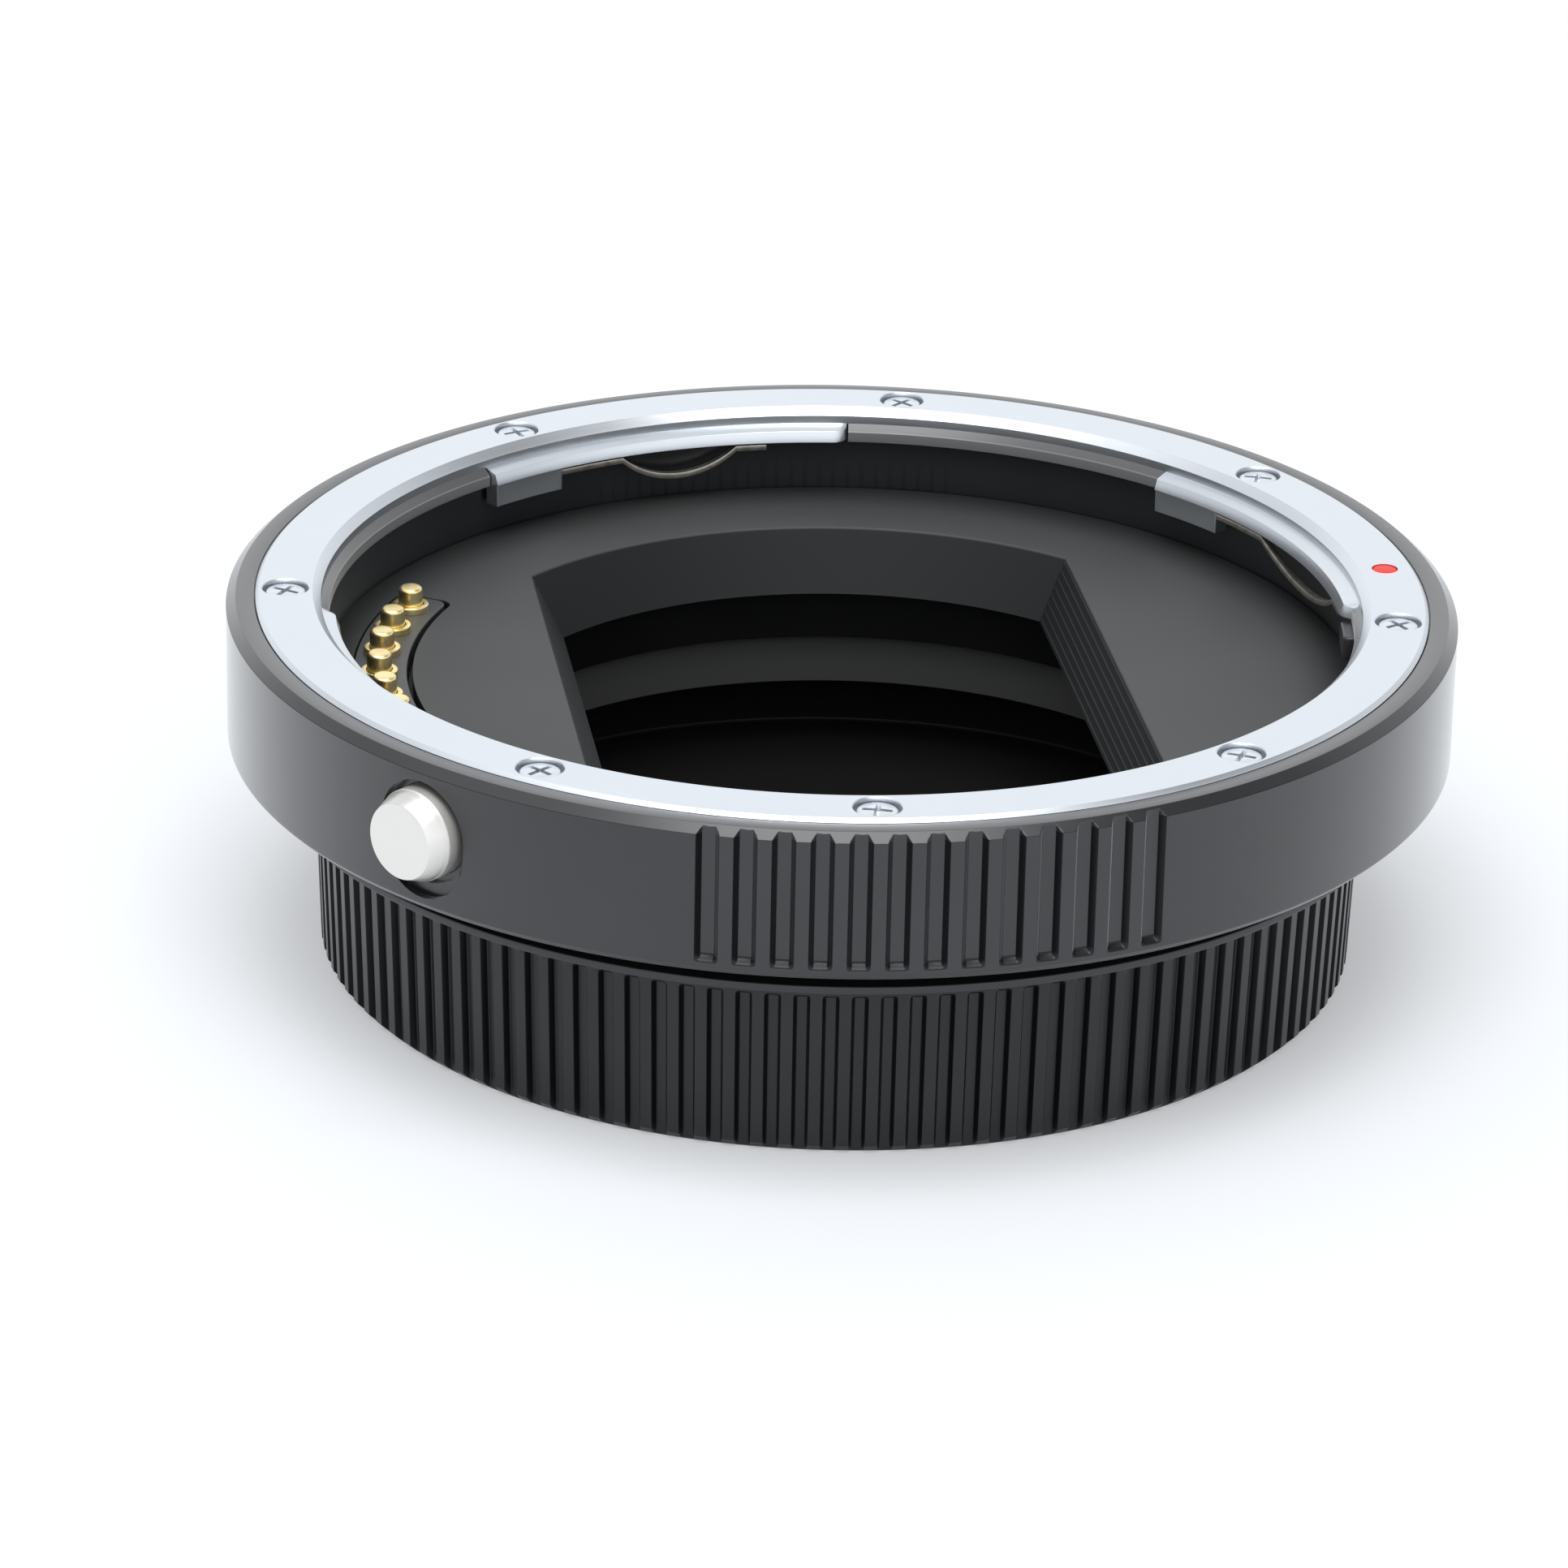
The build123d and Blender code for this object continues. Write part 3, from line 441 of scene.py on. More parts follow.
@dataclass(frozen=True)
class StudioFloor(Finish):
    """Pale paper that shows near white to the camera and keeps the object's shadow."""

    colour: Colour = (0.79, 0.81, 0.84)
    fibre_mm: float = 40.0
    fibre_gain: float = 1.01
    roughness: float = 0.8
    specular: float = 0.2
    white: Colour = (0.985, 0.99, 1.0)
    lift: float = 0.3

    def surface(self, graph: Graph) -> Sock:
        """Build the shader from paper and a share of plain white."""
        fibre = graph.noise(graph.point(), self.fibre_mm, 3.0)
        pale = tuple(self.fibre_gain * part for part in self.colour)
        paper = graph.principled(
            {
                "Base Color": graph.blend(fibre, self.colour, pale),
                "Roughness": self.roughness,
                "Specular IOR Level": self.specular,
            }
        )
        white = graph.node("ShaderNodeEmission", None, {"Color": (*self.white, 1.0), "Strength": 1.0})
        seen = seen_directly(graph)
        return graph.node("ShaderNodeMixShader", None, {0: self.lift * seen, 1: paper, 2: white})


def seen_directly(graph: Graph) -> Sock:
    """Give 1 for rays that show a surface to the camera, by itself or in a reflection."""
    path = graph.node("ShaderNodeLightPath").socket.node.outputs
    rays = [Sock(graph, path[f"Is {kind} Ray"]) for kind in ("Camera", "Glossy", "Transmission")]
    return rays[0] | rays[1] | rays[2]


class Join(Enum):
    """How one shape works on another."""

    CUT = "DIFFERENCE"
    FUSE = "UNION"


def place(radius: float, heading: float, z: float = 0.0) -> Place:
    """Give the point at a radius, a heading and a height."""
    turn = math.radians(heading)
    return radius * math.sin(turn), -radius * math.cos(turn), z


def radial(heading: float, z: float) -> Matrix:
    """Give the frame on the axis whose Z points out along a heading and whose Y points up."""
    across, out = Vector(place(1, heading + 90)), Vector(place(1, heading))
    columns = Matrix((across, (0, 0, 1), out)).transposed().to_4x4()
    return Matrix.Translation((0, 0, z)) @ columns


def smooth_step(value: np.ndarray, low: float, high: float) -> np.ndarray:
    """Give a smooth step from 0 at low to 1 at high."""
    share = np.clip((value - low) / (high - low), 0, 1)
    return share * share * (3 - 2 * share)


def rounded(outline: Sequence[Corner], steps: int = 3) -> np.ndarray:
    """Round the corners of a closed outline.

    Args:
        outline: corners as (x, y, radius).
        steps: straight pieces in each rounded corner.

    Returns:
        The points of the outline.
    """
    points = []
    corners = np.array([corner[:2] for corner in outline], float)
    for index, (corner, (_, _, radius)) in enumerate(zip(corners, outline)):
        if radius <= 0:
            points.append(corner)
            continue
        before = corners[index - 1] - corner
        after = corners[(index + 1) % len(corners)] - corner
        before, after = before / np.linalg.norm(before), after / np.linalg.norm(after)
        half = math.acos(np.clip(before @ after, -1, 1)) / 2
        middle = (before + after) / np.linalg.norm(before + after)
        centre = corner + middle * radius / math.sin(half)
        arm = corner + before * radius / math.tan(half) - centre
        sweep = math.copysign(math.pi - 2 * half, after[0] * before[1] - after[1] * before[0])
        for turn in np.linspace(0, sweep, steps + 1):
            cos, sin = math.cos(turn), math.sin(turn)
            points.append(centre + np.array((cos * arm[0] - sin * arm[1], sin * arm[0] + cos * arm[1])))
    return np.array(points)


def divided(outline: np.ndarray, longest: float) -> np.ndarray:
    """Add points to a closed outline so that no side is longer than a length."""
    points = []
    for start, end in zip(outline, np.roll(outline, -1, axis=0)):
        count = max(1, math.ceil(np.linalg.norm(end - start) / longest))
        points.extend(start + (end - start) * step / count for step in range(count))
    return np.array(points)


def bent(outline: np.ndarray, circle: float) -> np.ndarray:
    """Bend an outline of (length along a circle, radius) points round the axis."""
    turn = outline[:, 0] / circle
    return np.column_stack((outline[:, 1] * np.sin(turn), -outline[:, 1] * np.cos(turn)))


def wrapped(headings: np.ndarray, radius: np.ndarray, z: np.ndarray) -> np.ndarray:
    """Stand one section at each heading, from the radii and heights of its points."""
    turn = np.radians(headings)[:, None]
    rows = np.broadcast_arrays(radius * np.sin(turn), -radius * np.cos(turn), z)
    return np.stack(rows, axis=-1)


def span_corners(
    span: tuple[float, float],
    radii: tuple[float, float],
    circle: float,
    inner_round: float,
    outer_round: float = 0.0,
) -> list[Corner]:
    """Give the corners of a curved block, as (length along a circle, radius, rounding).

    Args:
        span: the headings of its ends.
        radii: its inner and outer radius.
        circle: the radius that lengths are counted on.
        inner_round: the rounding of its two inner corners.
        outer_round: the rounding of its two outer corners.

    Returns:
        The four corners.
    """
    first, last = (math.radians(heading) * circle for heading in span)
    inner, outer = radii
    return [
        (first, inner, inner_round),
        (last, inner, inner_round),
        (last, outer, outer_round),
        (first, outer, outer_round),
    ]


def disc(radius: float, low: float, high: float, edge: float = 0.0) -> np.ndarray:
    """Give the profile of a round bar, with its upper edge rounded."""
    return rounded([(0, low, 0), (radius, low, 0), (radius, high, edge), (0, high, 0)])


def shrunk(outline: np.ndarray, amount: float) -> np.ndarray:
    """Move a closed outline inwards by an amount."""
    ahead, behind = np.roll(outline, -1, axis=0), np.roll(outline, 1, axis=0)
    along = ahead - behind
    along /= np.linalg.norm(along, axis=1)[:, None]
    area = np.sum(outline[:, 0] * ahead[:, 1] - ahead[:, 0] * outline[:, 1])
    return outline + math.copysign(amount, area) * np.column_stack((-along[:, 1], along[:, 0]))


class Shape:
    """A closed mesh in millimetres that can be moved, joined, cut and made into a piece."""

    def __init__(self, mesh: bpy.types.Mesh) -> None:
        """Hold a mesh."""
        self.mesh = mesh

    @classmethod
    def of_faces(cls, points: np.ndarray, faces: list[list[int]]) -> "Shape":
        """Make a shape from points and faces, with doubles merged and normals facing out."""
        mesh = bpy.data.meshes.new("shape")
        mesh.from_pydata(points.reshape(-1, 3).tolist(), [], faces)
        work = bmesh.new()
        work.from_mesh(mesh)
        bmesh.ops.remove_doubles(work, verts=work.verts, dist=1e-5)
        loose = [edge for edge in work.edges if not edge.link_faces]
        bmesh.ops.delete(work, geom=loose, context="EDGES")
        bmesh.ops.recalc_face_normals(work, faces=work.faces)
        work.to_mesh(mesh)
        work.free()
        return cls(mesh)

    @classmethod
    def swept(cls, sections: np.ndarray) -> "Shape":
        """Join a closed round of closed sections, given as an array of (section, point, xyz)."""
        rounds, count = sections.shape[:2]
        here = np.arange(rounds * count).reshape(rounds, count)
        ahead = np.roll(here, -1, axis=0)
        faces = np.stack((here, ahead, np.roll(ahead, -1, axis=1), np.roll(here, -1, axis=1)), axis=-1)
        return cls.of_faces(sections, faces.reshape(-1, 4).tolist())

    @classmethod
    def stacked(cls, loops: np.ndarray) -> "Shape":
        """Join a stack of closed loops and cap both ends."""
        rounds, count = loops.shape[:2]
        here = np.arange(rounds * count).reshape(rounds, count)
        low, high = here[:-1], here[1:]
        faces = np.stack((low, high, np.roll(high, -1, axis=1), np.roll(low, -1, axis=1)), axis=-1)
        return cls.of_faces(loops, [*faces.reshape(-1, 4).tolist(), here[0].tolist(), here[-1].tolist()])

    @classmethod
    def turned(cls, profile: np.ndarray, count: int) -> "Shape":
        """Turn a closed profile of (radius, height) points about the axis."""
        turns = np.linspace(0, 2 * math.pi, count, endpoint=False)[:, None]
        heights = np.broadcast_to(profile[:, 1], (count, len(profile)))
        return cls.swept(
            np.stack((profile[:, 0] * np.cos(turns), profile[:, 0] * np.sin(turns), heights), axis=-1)
        )

    @classmethod
    def prism(cls, outline: np.ndarray, low: float, high: float, edge: float = 0.0) -> "Shape":
        """Raise an outline between two heights, with its edges rounded by a radius."""
        turns = np.linspace(0, math.pi / 2, 4) if edge else np.array([math.pi / 2])
        ends = [(edge * (1 - math.sin(turn)), edge * (1 - math.cos(turn))) for turn in turns]
        rows = [(inset, low + rise) for inset, rise in ends]
        rows += [(inset, high - rise) for inset, rise in reversed(ends)]
        loops = [
            np.column_stack((shrunk(outline, inset), np.full(len(outline), z))) for inset, z in rows
        ]
        return cls.stacked(np.array(loops))

    @classmethod
    def sector(
        cls, corners: Sequence[Corner], circle: float, low: float, high: float, edge: float = 0.0
    ) -> "Shape":
        """Raise an outline of (length along a circle, radius, rounding) corners, bent round the axis."""
        outline = divided(rounded(corners, 6), circle / 60)
        return cls.prism(bent(outline, circle), low, high, edge)

    @classmethod
    def tube(cls, path: np.ndarray, radius: float, sides: int = 10) -> "Shape":
        """Lay a round wire along a path."""
        along = np.gradient(path, axis=0)
        along /= np.linalg.norm(along, axis=1)[:, None]
        across = np.cross(along, (0, 0, 1.0))
        across /= np.linalg.norm(across, axis=1)[:, None]
        up = np.cross(across, along)
        turns = np.linspace(0, 2 * math.pi, sides, endpoint=False)
        ring = np.cos(turns)[:, None, None] * across + np.sin(turns)[:, None, None] * up
        return cls.stacked(path[:, None, :] + radius * ring.transpose(1, 0, 2))

    @classmethod
    def joined(cls, shapes: Iterable["Shape"]) -> "Shape":
        """Put several shapes into one mesh."""
        work = bmesh.new()
        for shape in shapes:
            work.from_mesh(shape.mesh)
        mesh = bpy.data.meshes.new("shape")
        work.to_mesh(mesh)
        work.free()
        return cls(mesh)

    def moved(self, matrix: Matrix) -> "Shape":
        """Give a moved copy."""
        mesh = self.mesh.copy()
        mesh.transform(matrix)
        return Shape(mesh)

    def at(self, spots: Iterable[Place]) -> "Shape":
        """Give one shape with a copy at each spot."""
        return Shape.joined(self.moved(Matrix.Translation(spot)) for spot in spots)

    def worked(self, how: Join, *tools: "Shape") -> "Shape":
        """Cut away or fuse on the tools.

        Args:
            how: what the tools do.
            tools: the shapes that work on this one.

        Returns:
            The worked shape.
        """
        scene = bpy.context.scene.collection.objects
        target = bpy.data.objects.new("target", self.mesh)
        scene.link(target)
        helpers = []
        for tool in tools:
            helper = bpy.data.objects.new("tool", tool.mesh)
            scene.link(helper)
            helpers.append(helper)
            modifier = target.modifiers.new("work", "BOOLEAN")
            modifier.operation = how.value
            modifier.solver = "EXACT"
            modifier.object = helper
        graph = bpy.context.evaluated_depsgraph_get()
        mesh = bpy.data.meshes.new_from_object(target.evaluated_get(graph))
        for used in (target, *helpers):
            bpy.data.objects.remove(used)
        return Shape(mesh)


@dataclass(frozen=True)
class Tie:
    """How a piece belongs to the frame: its material slot, the node it stands for and its body."""

    slot: str
    node: str
    body: str = FIXED


class SubAssembly:
    """A group of pieces that are built together."""

    def build(self) -> None:
        """Build and dress every piece."""
        raise NotImplementedError

    @staticmethod
    def piece(name: str, shape: Shape, finish: Finish, tie: Tie) -> bpy.types.Object:
        """Make a shape into a dressed piece of the object.

        Args:
            name: the piece's name.
            shape: its form, in millimetres.
            finish: its surface.
            tie: its place in the frame.

        Returns:
            The new object.
        """
        mesh = shape.mesh
        mesh.name = name
        mesh.transform(Matrix.Scale(MM, 4))
        mesh.shade_smooth()
        mesh.set_sharp_from_angle(angle=SMOOTH_ANGLE)
        mesh.materials.clear()
        mesh.materials.append(finish.material())
        made = bpy.data.objects.new(name, mesh)
        bpy.context.scene.collection.objects.link(made)
        weighted = made.modifiers.new("Flat faces stay flat", "WEIGHTED_NORMAL")
        weighted.keep_sharp = True
        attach(made, tie.body)
        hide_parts(tie.node)
        LOG.info("%s: %d faces", name, len(mesh.polygons))
        return made

    @staticmethod
    def dress(node: str, finish: Finish) -> None:
        """Give a kept node its finish."""
        materials = frame["nodes"][node].data.materials
        materials.clear()
        materials.append(finish.material())
        LOG.info("%s: dressed", node)


def heights(node: str) -> tuple[float, float]:
    """Give a node's lowest and highest point, in millimetres."""
    low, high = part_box(node)
    return low.z / MM, high.z / MM


def lowest(node: str) -> float:
    """Give a field that holds a node's lowest height."""
    return field(default_factory=lambda: heights(node)[0])


def highest(node: str) -> float:
    """Give a field that holds a node's highest height."""
    return field(default_factory=lambda: heights(node)[1])


@dataclass
class Levels:
    """Heights that several sub-assemblies share, read from the frame."""

    rear_seat: float = lowest("seal_lip")
    lip_top: float = highest("seal_lip")
    ring_bottom: float = lowest("body_ring")
    ring_top: float = highest("body_ring")
    lens_seat: float = highest("lens_flange")
    foot_bottom: float = lowest("lens_flange")
    floor: float = highest("baffle")
    funnel_end: float = lowest("baffle")
    hub_top: float = highest("rear_carrier")
    sleeve_end: float = lowest("rear_carrier")


LEVELS = Levels()


@dataclass(frozen=True)
class Groove:
    """The trapezoid section of a milled or moulded groove, with softened edges."""

    depth: float
    mouth: float
    floor: float
    soft: float

    def share(self, offset: np.ndarray) -> np.ndarray:
        """Give the share of the depth at offsets from the groove's middle."""
        shift = np.linspace(-self.soft, self.soft, 9)
        away = np.abs(offset[..., None] + shift)
        slope = (self.mouth - self.floor) / 2
        return np.clip((self.mouth / 2 - away) / slope, 0, 1).mean(axis=-1)

    def offsets(self, steps: int, walls: int = 2) -> np.ndarray:
        """Give the offsets that its section needs, from edge to edge, with steps at edges and on walls."""
        near = np.linspace(-self.soft, self.soft, steps)
        wall = np.linspace(self.floor / 2, self.mouth / 2, walls)
        half = np.concatenate((self.floor / 2 + near, wall, self.mouth / 2 + near))
        return np.unique(np.round(np.concatenate((-half, [0.0], half)), 4))


@dataclass
class OuterRing(SubAssembly):
    """The black outer ring with its grips, button recess and flange pocket."""

    radius: float = 36.75
    bore: float = 31.3
    pocket_radius: float = 35.08
    pocket_depth: float = 0.78
    throat: float = 31.1
    collar: float = 30.65
    collar_ledge: float = 0.45
    collar_depth: float = 1.1
    notches: tuple[tuple[float, float], ...] = (
        (84.0, 130.6),
        (171.0, 217.5),
        (266.0, 314.0),
        (353.0, 398.0),
    )
    notch_radius: float = 31.78
    notch_margin: float = 0.15
    notch_past: float = 0.4
    bottom_chamfer: float = 0.45
    top_chamfer_width: float = 0.58
    top_chamfer_height: float = 0.5
    edge: float = 0.05
    grip_headings: tuple[float, ...] = (0.0, 180.0)
    grip_count: int = 13
    grip_pitch: float = 3.333
    grip_margin: float = 0.42
    grip_runout: float = 0.4
    groove: Groove = Groove(depth=0.44, mouth=1.35, floor=0.76, soft=0.02)
    plain_step: float = 0.75
    button_heading: float = -48.4
    button_height: float = 18.07
    bore_radius: float = 2.77
    bore_end: float = 32.6
    recess_radius: float = 3.15
    recess_depth: float = 0.8
    scoop_radius: float = 3.1
    scoop_depth: float = 0.5
    scoop_drop: float = 0.85
    stem_hole_radius: float = 1.15
    pin_circle: float = 31.0
    pin_hole_radius: float = 1.25
    pin_hole_top: float = 18.95
    screw_headings: tuple[float, ...] = (-150, -95, -39, -5, 34.5, 75, 120, 165)
    screw_circle: float = 33.2
    screw_hole_radius: float = 0.74
    screw_hole_depth: float = 3.6
    # Black anodising, with painted light inside the throat and painted shade in the grip grooves, their
    # run-outs and the lower bevel.
    finish: Finish = BlackFinish(
        "ring_anodised_painted_shade_and_light",
        coat=1.0,
        specular=0.25,
        sheen=0.4,
        painted_light_zones=(
            # Painted light: inside radius 31.2 the throat wall and collar are paler, to stand for light
            # falling on them.
            PaintedLightZone((0.075, 0.075, 0.077), radii=(-1.0, 31.2)),
            # Painted highlight: the collar's ledge inside radius 30.7 is paler still.
            PaintedLightZone((0.16, 0.16, 0.163), radii=(-1.0, 30.7)),
            # Painted shade: the depths of the grip grooves are darker and have no coat.
            PaintedLightZone(
                (0.003, 0.003, 0.0035), radii=(36.34, 36.742), heights=(14.4, 21.7), soft=0.006, gloss=0.0
            ),
            # Painted shade: the grooves' run-outs near the bottom are darker, with little coat, which also
            # dims the lamp's reflection there.
            PaintedLightZone(
                (0.006, 0.006, 0.007), radii=(36.0, 36.742), heights=(13.82, 14.4), soft=0.006, gloss=0.1
            ),
            # Painted shade: the lower bevel under the wall is darker, with less coat, as if shaded by the
            # cap.
            PaintedLightZone((0.003, 0.003, 0.0035), heights=(13.0, 13.76), gloss=0.25),
        ),
    )

    def grip_middles(self) -> np.ndarray:
        """Give the headings of all grip grooves."""
        row = (np.arange(self.grip_count) - (self.grip_count - 1) / 2) * self.grip_pitch
        return np.concatenate([heading + row for heading in self.grip_headings])

    def columns(self) -> tuple[np.ndarray, np.ndarray]:
        """Give the headings of the sections, and the groove's share of depth at each."""
        offsets = self.groove.offsets(3, 8)
        turn = np.degrees(offsets / self.radius)
        middles = self.grip_middles()
        fine = (middles[:, None] + turn).ravel()
        plain = np.arange(-90, 270, self.plain_step)
        reach = self.grip_pitch / 2
        plain = plain[np.min(np.abs(plain[:, None] - middles), axis=1) > reach]
        headings = np.sort(np.concatenate((fine, plain)))
        away = np.min(np.abs(headings[:, None] - middles), axis=1)
        return headings, self.groove.share(np.radians(away) * self.radius)

    def profile(self) -> np.ndarray:
        """Give the section's outline, with rows where the grooves run out."""
        wall_bottom = LEVELS.ring_bottom + self.bottom_chamfer
        wall_top = LEVELS.ring_top - self.top_chamfer_height
        grip_end = wall_bottom + self.grip_margin
        pocket_floor = LEVELS.ring_top - self.pocket_depth
        runout = np.linspace(grip_end - self.grip_runout / 2, grip_end + self.grip_runout / 2, 7)
        chamfer = np.sort([*np.linspace(0.15, 0.85, 8), self.groove.depth / self.top_chamfer_width])
        return rounded(
            [
                (self.bore, LEVELS.ring_bottom, 0.1),
                (self.radius - self.bottom_chamfer, LEVELS.ring_bottom, self.edge),
                (self.radius, wall_bottom, self.edge),
                *((self.radius, z, 0) for z in runout),
                (self.radius, wall_top, self.edge),
                *(
                    (
                        self.radius - share * self.top_chamfer_width,
                        wall_top + share * self.top_chamfer_height,
                        0,
                    )
                    for share in chamfer
                ),
                (self.radius - self.top_chamfer_width, LEVELS.ring_top, self.edge),
                (self.pocket_radius, LEVELS.ring_top, self.edge),
                (self.pocket_radius, pocket_floor, 0),
                (self.throat, pocket_floor, 0),
                (self.collar, pocket_floor - self.collar_ledge, self.edge),
                (self.collar, pocket_floor - self.collar_depth, self.edge),
                (self.bore, pocket_floor - self.collar_depth, 0),
            ]
        )

    def body(self) -> Shape:
        """Sweep the grooved section round the axis."""
        headings, share = self.columns()
        profile = self.profile()
        grip_end = LEVELS.ring_bottom + self.bottom_chamfer + self.grip_margin
        rise = smooth_step(profile[:, 1], grip_end - self.grip_runout / 2, grip_end + self.grip_runout / 2)
        limit = self.radius - self.groove.depth * share[:, None] * rise
        radius = np.minimum(profile[:, 0], limit)
        return Shape.swept(wrapped(headings, radius, profile[:, 1]))

    def cutters(self) -> list[Shape]:
        """Make the cutters of the tabs' notches, the button, the lock pin and the screws."""
        out = self.radius + 2 * PAST
        out_frame = radial(self.button_heading, self.button_height)
        scoop_frame = radial(self.button_heading, self.button_height - self.scoop_drop)
        scoop = disc(self.scoop_radius, self.radius - self.scoop_depth, out)
        bore = rounded(
            [
                (0, self.pin_circle, 0),
                (self.stem_hole_radius, self.pin_circle, 0),
                (self.stem_hole_radius, self.bore_end, 0),
                (self.bore_radius, self.bore_end, 0),
                (self.bore_radius, self.radius - self.recess_depth, 0),
                (self.recess_radius, self.radius - self.recess_depth, 0),
                (self.recess_radius, out, 0),
                (0, out, 0),
            ]
        )
        pin = disc(self.pin_hole_radius, LEVELS.ring_bottom - PAST, self.pin_hole_top)
        pocket_floor = LEVELS.ring_top - self.pocket_depth
        hole = disc(self.screw_hole_radius, pocket_floor - self.screw_hole_depth, pocket_floor + PAST)
        notch_low = pocket_floor - self.collar_depth
        radii = (self.collar - self.notch_past, self.notch_radius)
        notches = []
        for start, end in self.notches:
            span = (start - self.notch_margin, end + self.notch_margin)
            corners = span_corners(span, radii, self.collar, 0.0)
            notches.append(Shape.sector(corners, self.collar, notch_low, pocket_floor + self.notch_past))
        return [
            Shape.joined(notches),
            Shape.turned(scoop, 96).moved(scoop_frame),
            Shape.turned(bore, 96).moved(out_frame),
            Shape.turned(pin, 48).at([place(self.pin_circle, self.button_heading)]),
            Shape.turned(hole, 24).at(place(self.screw_circle, heading) for heading in self.screw_headings),
        ]

    def build(self) -> None:
        """Build the ring."""
        shape = self.body().worked(Join.CUT, *self.cutters())
        self.piece("ring_body", shape, self.finish, Tie("ring_black", "body_ring"))


@dataclass
class LensMount(SubAssembly):
    """The bright bayonet flange with its tabs, screws, dot, leaf springs and turn stop."""

    radius: float = 35.0
    face_inner: float = 31.6
    throat: float = 31.1
    thickness: float = 1.0
    outer_chamfer: float = 0.23
    inner_chamfer: float = 0.5
    edge: float = 0.03
    tabs: tuple[tuple[float, float, float], ...] = (
        (84.0, 130.6, 21.0),
        (171.0, 217.5, 14.5),
        (266.0, 314.0, 14.5),
        (353.0, 398.0, 21.0),
    )
    tab_circle: float = 30.65
    tab_inner: float = 30.0
    tab_outer: float = 31.7
    tab_lean: float = 0.25
    tab_fall: float = 0.26
    tab_thickness: float = 0.95
    tab_tip: float = 1.0
    tab_bury: float = 0.01
    brow_gap: float = 0.02
    foot_span: float = 10.0
    foot_gap: float = 0.04
    foot_inset: float = 0.05
    foot_bury: float = 0.12
    foot_corners: tuple[float, float] = (0.12, 0.1)
    foot_edge: float = 0.05
    screw_headings: tuple[float, ...] = OuterRing.screw_headings
    screw_turns: tuple[float, ...] = (20, 55, 38, -16, 62, 25, 70, 40)
    screw_circle: float = 33.2
    head_radius: float = 1.2
    head_height: float = 0.5
    head_sink: float = 0.2
    head_pocket: float = 1.38
    pocket_bevel: float = 0.06
    hole_gap: float = 0.04
    shank_radius: float = 0.7
    shank_length: float = 3.6
    cross_length: float = 1.7
    cross_width: float = 0.3
    cross_depth: float = 0.4
    dot_heading: float = 90.0
    dot_circle: float = 33.15
    dot_radius: float = 0.75
    dot_depth: float = 0.4
    dot_sink: float = 0.03
    leaf_inner: float = 30.12
    leaf_outer: float = 30.62
    leaf_gap: float = 0.1
    leaf_thickness: float = 0.4
    leaf_tongue: float = 1.5
    leaf_flat_span: float = 8.5
    leaf_end_span: float = 3.7
    leaf_bow: float = 1.5
    stop_heading: float = 82.0
    stop_inner: float = 30.0
    stop_outer: float = 31.26
    stop_width: float = 2.8
    stop_pin_radius: float = 0.55
    stop_pin_end: float = 32.86
    stop_pin_bury: float = 0.6
    stop_corner: float = 0.35
    stop_edge: float = 0.16
    flange_finish: Finish = TurnedSteel("flange_steel_turned")
    screw_finish: Finish = PlainMetal(
        "screw_steel_plated", dark=(0.68, 0.705, 0.74), light=(0.75, 0.775, 0.81), roughness=0.3
    )
    dot_finish: Finish = Enamel("dot_enamel")
    leaf_finish: Finish = PlainMetal(
        "leaf_steel", dark=(0.34, 0.315, 0.28), light=(0.48, 0.45, 0.41), roughness=0.42
    )
    stop_finish: Finish = BlackFinish(
        "stop_blackened", dark=(0.02, 0.02, 0.021), light=(0.03, 0.03, 0.031)
    )

    @property
    def tab_top(self) -> float:
        """Give the height of the tabs' upper faces."""
        return LEVELS.lens_seat - self.thickness

    @property
    def tab_bottom(self) -> float:
        """Give the height of the tabs' undersides."""
        return self.tab_top - self.tab_thickness

    def plate(self) -> Shape:
        """Turn the plate."""
        seat, edge = LEVELS.lens_seat, self.edge
        profile = rounded(
            [
                (self.radius, self.tab_top, edge),
                (self.radius, seat - self.outer_chamfer, edge),
                (self.radius - self.outer_chamfer, seat, edge),
                (self.face_inner, seat, edge),
                (self.throat, seat - self.inner_chamfer, edge),
                (self.throat, self.tab_top, 0),
            ]
        )
        return Shape.turned(profile, 540)

    def tab(self, start: float, end: float) -> Shape:
        """Sweep a tab between two headings, with a round tip, a falling top and a root under the plate."""
        low, top = self.tab_bottom, self.tab_top + self.tab_bury
        tip = math.degrees(self.tab_tip / self.tab_circle)
        bend = np.linspace(0, math.pi / 2, 12, endpoint=False)
        headings = np.concatenate((start + tip * (1 - np.cos(bend)), np.linspace(start + tip, end, 70)))
        short = 1 - np.clip((headings - start) / tip, 0, 1)
        inners = self.tab_inner + self.tab_tip * (1 - np.sqrt(1 - short**2))
        outlines = []
        for inner in inners:
            brow = min(inner + self.tab_lean, self.throat - self.brow_gap)
            outline = rounded(
                [
                    (self.tab_outer, low, 0),
                    (inner, low, self.edge),
                    (brow, top - self.tab_fall, self.edge),
                    (self.throat, top, 0),
                    (self.tab_outer, top, 0),
                ]
            )
            outlines.append(outline)
        radius, z = np.moveaxis(np.array(outlines), -1, 0)
        return Shape.stacked(wrapped(headings, radius, z))

    def foot(self, end: float) -> Shape:
        """Make the foot under the end of a tab."""
        first, last = (math.radians(heading) * self.tab_circle for heading in (end - self.foot_span, end))
        inner, outer = self.tab_inner + self.foot_inset, self.throat - self.foot_gap
        first_round, last_round = self.foot_corners
        corners = [
            (first, outer, 0),
            (first, inner, first_round),
            (last, inner, last_round),
            (last, outer, 0),
        ]
        top = self.tab_bottom + self.foot_bury
        return Shape.sector(corners, self.tab_circle, LEVELS.foot_bottom, top, self.foot_edge)

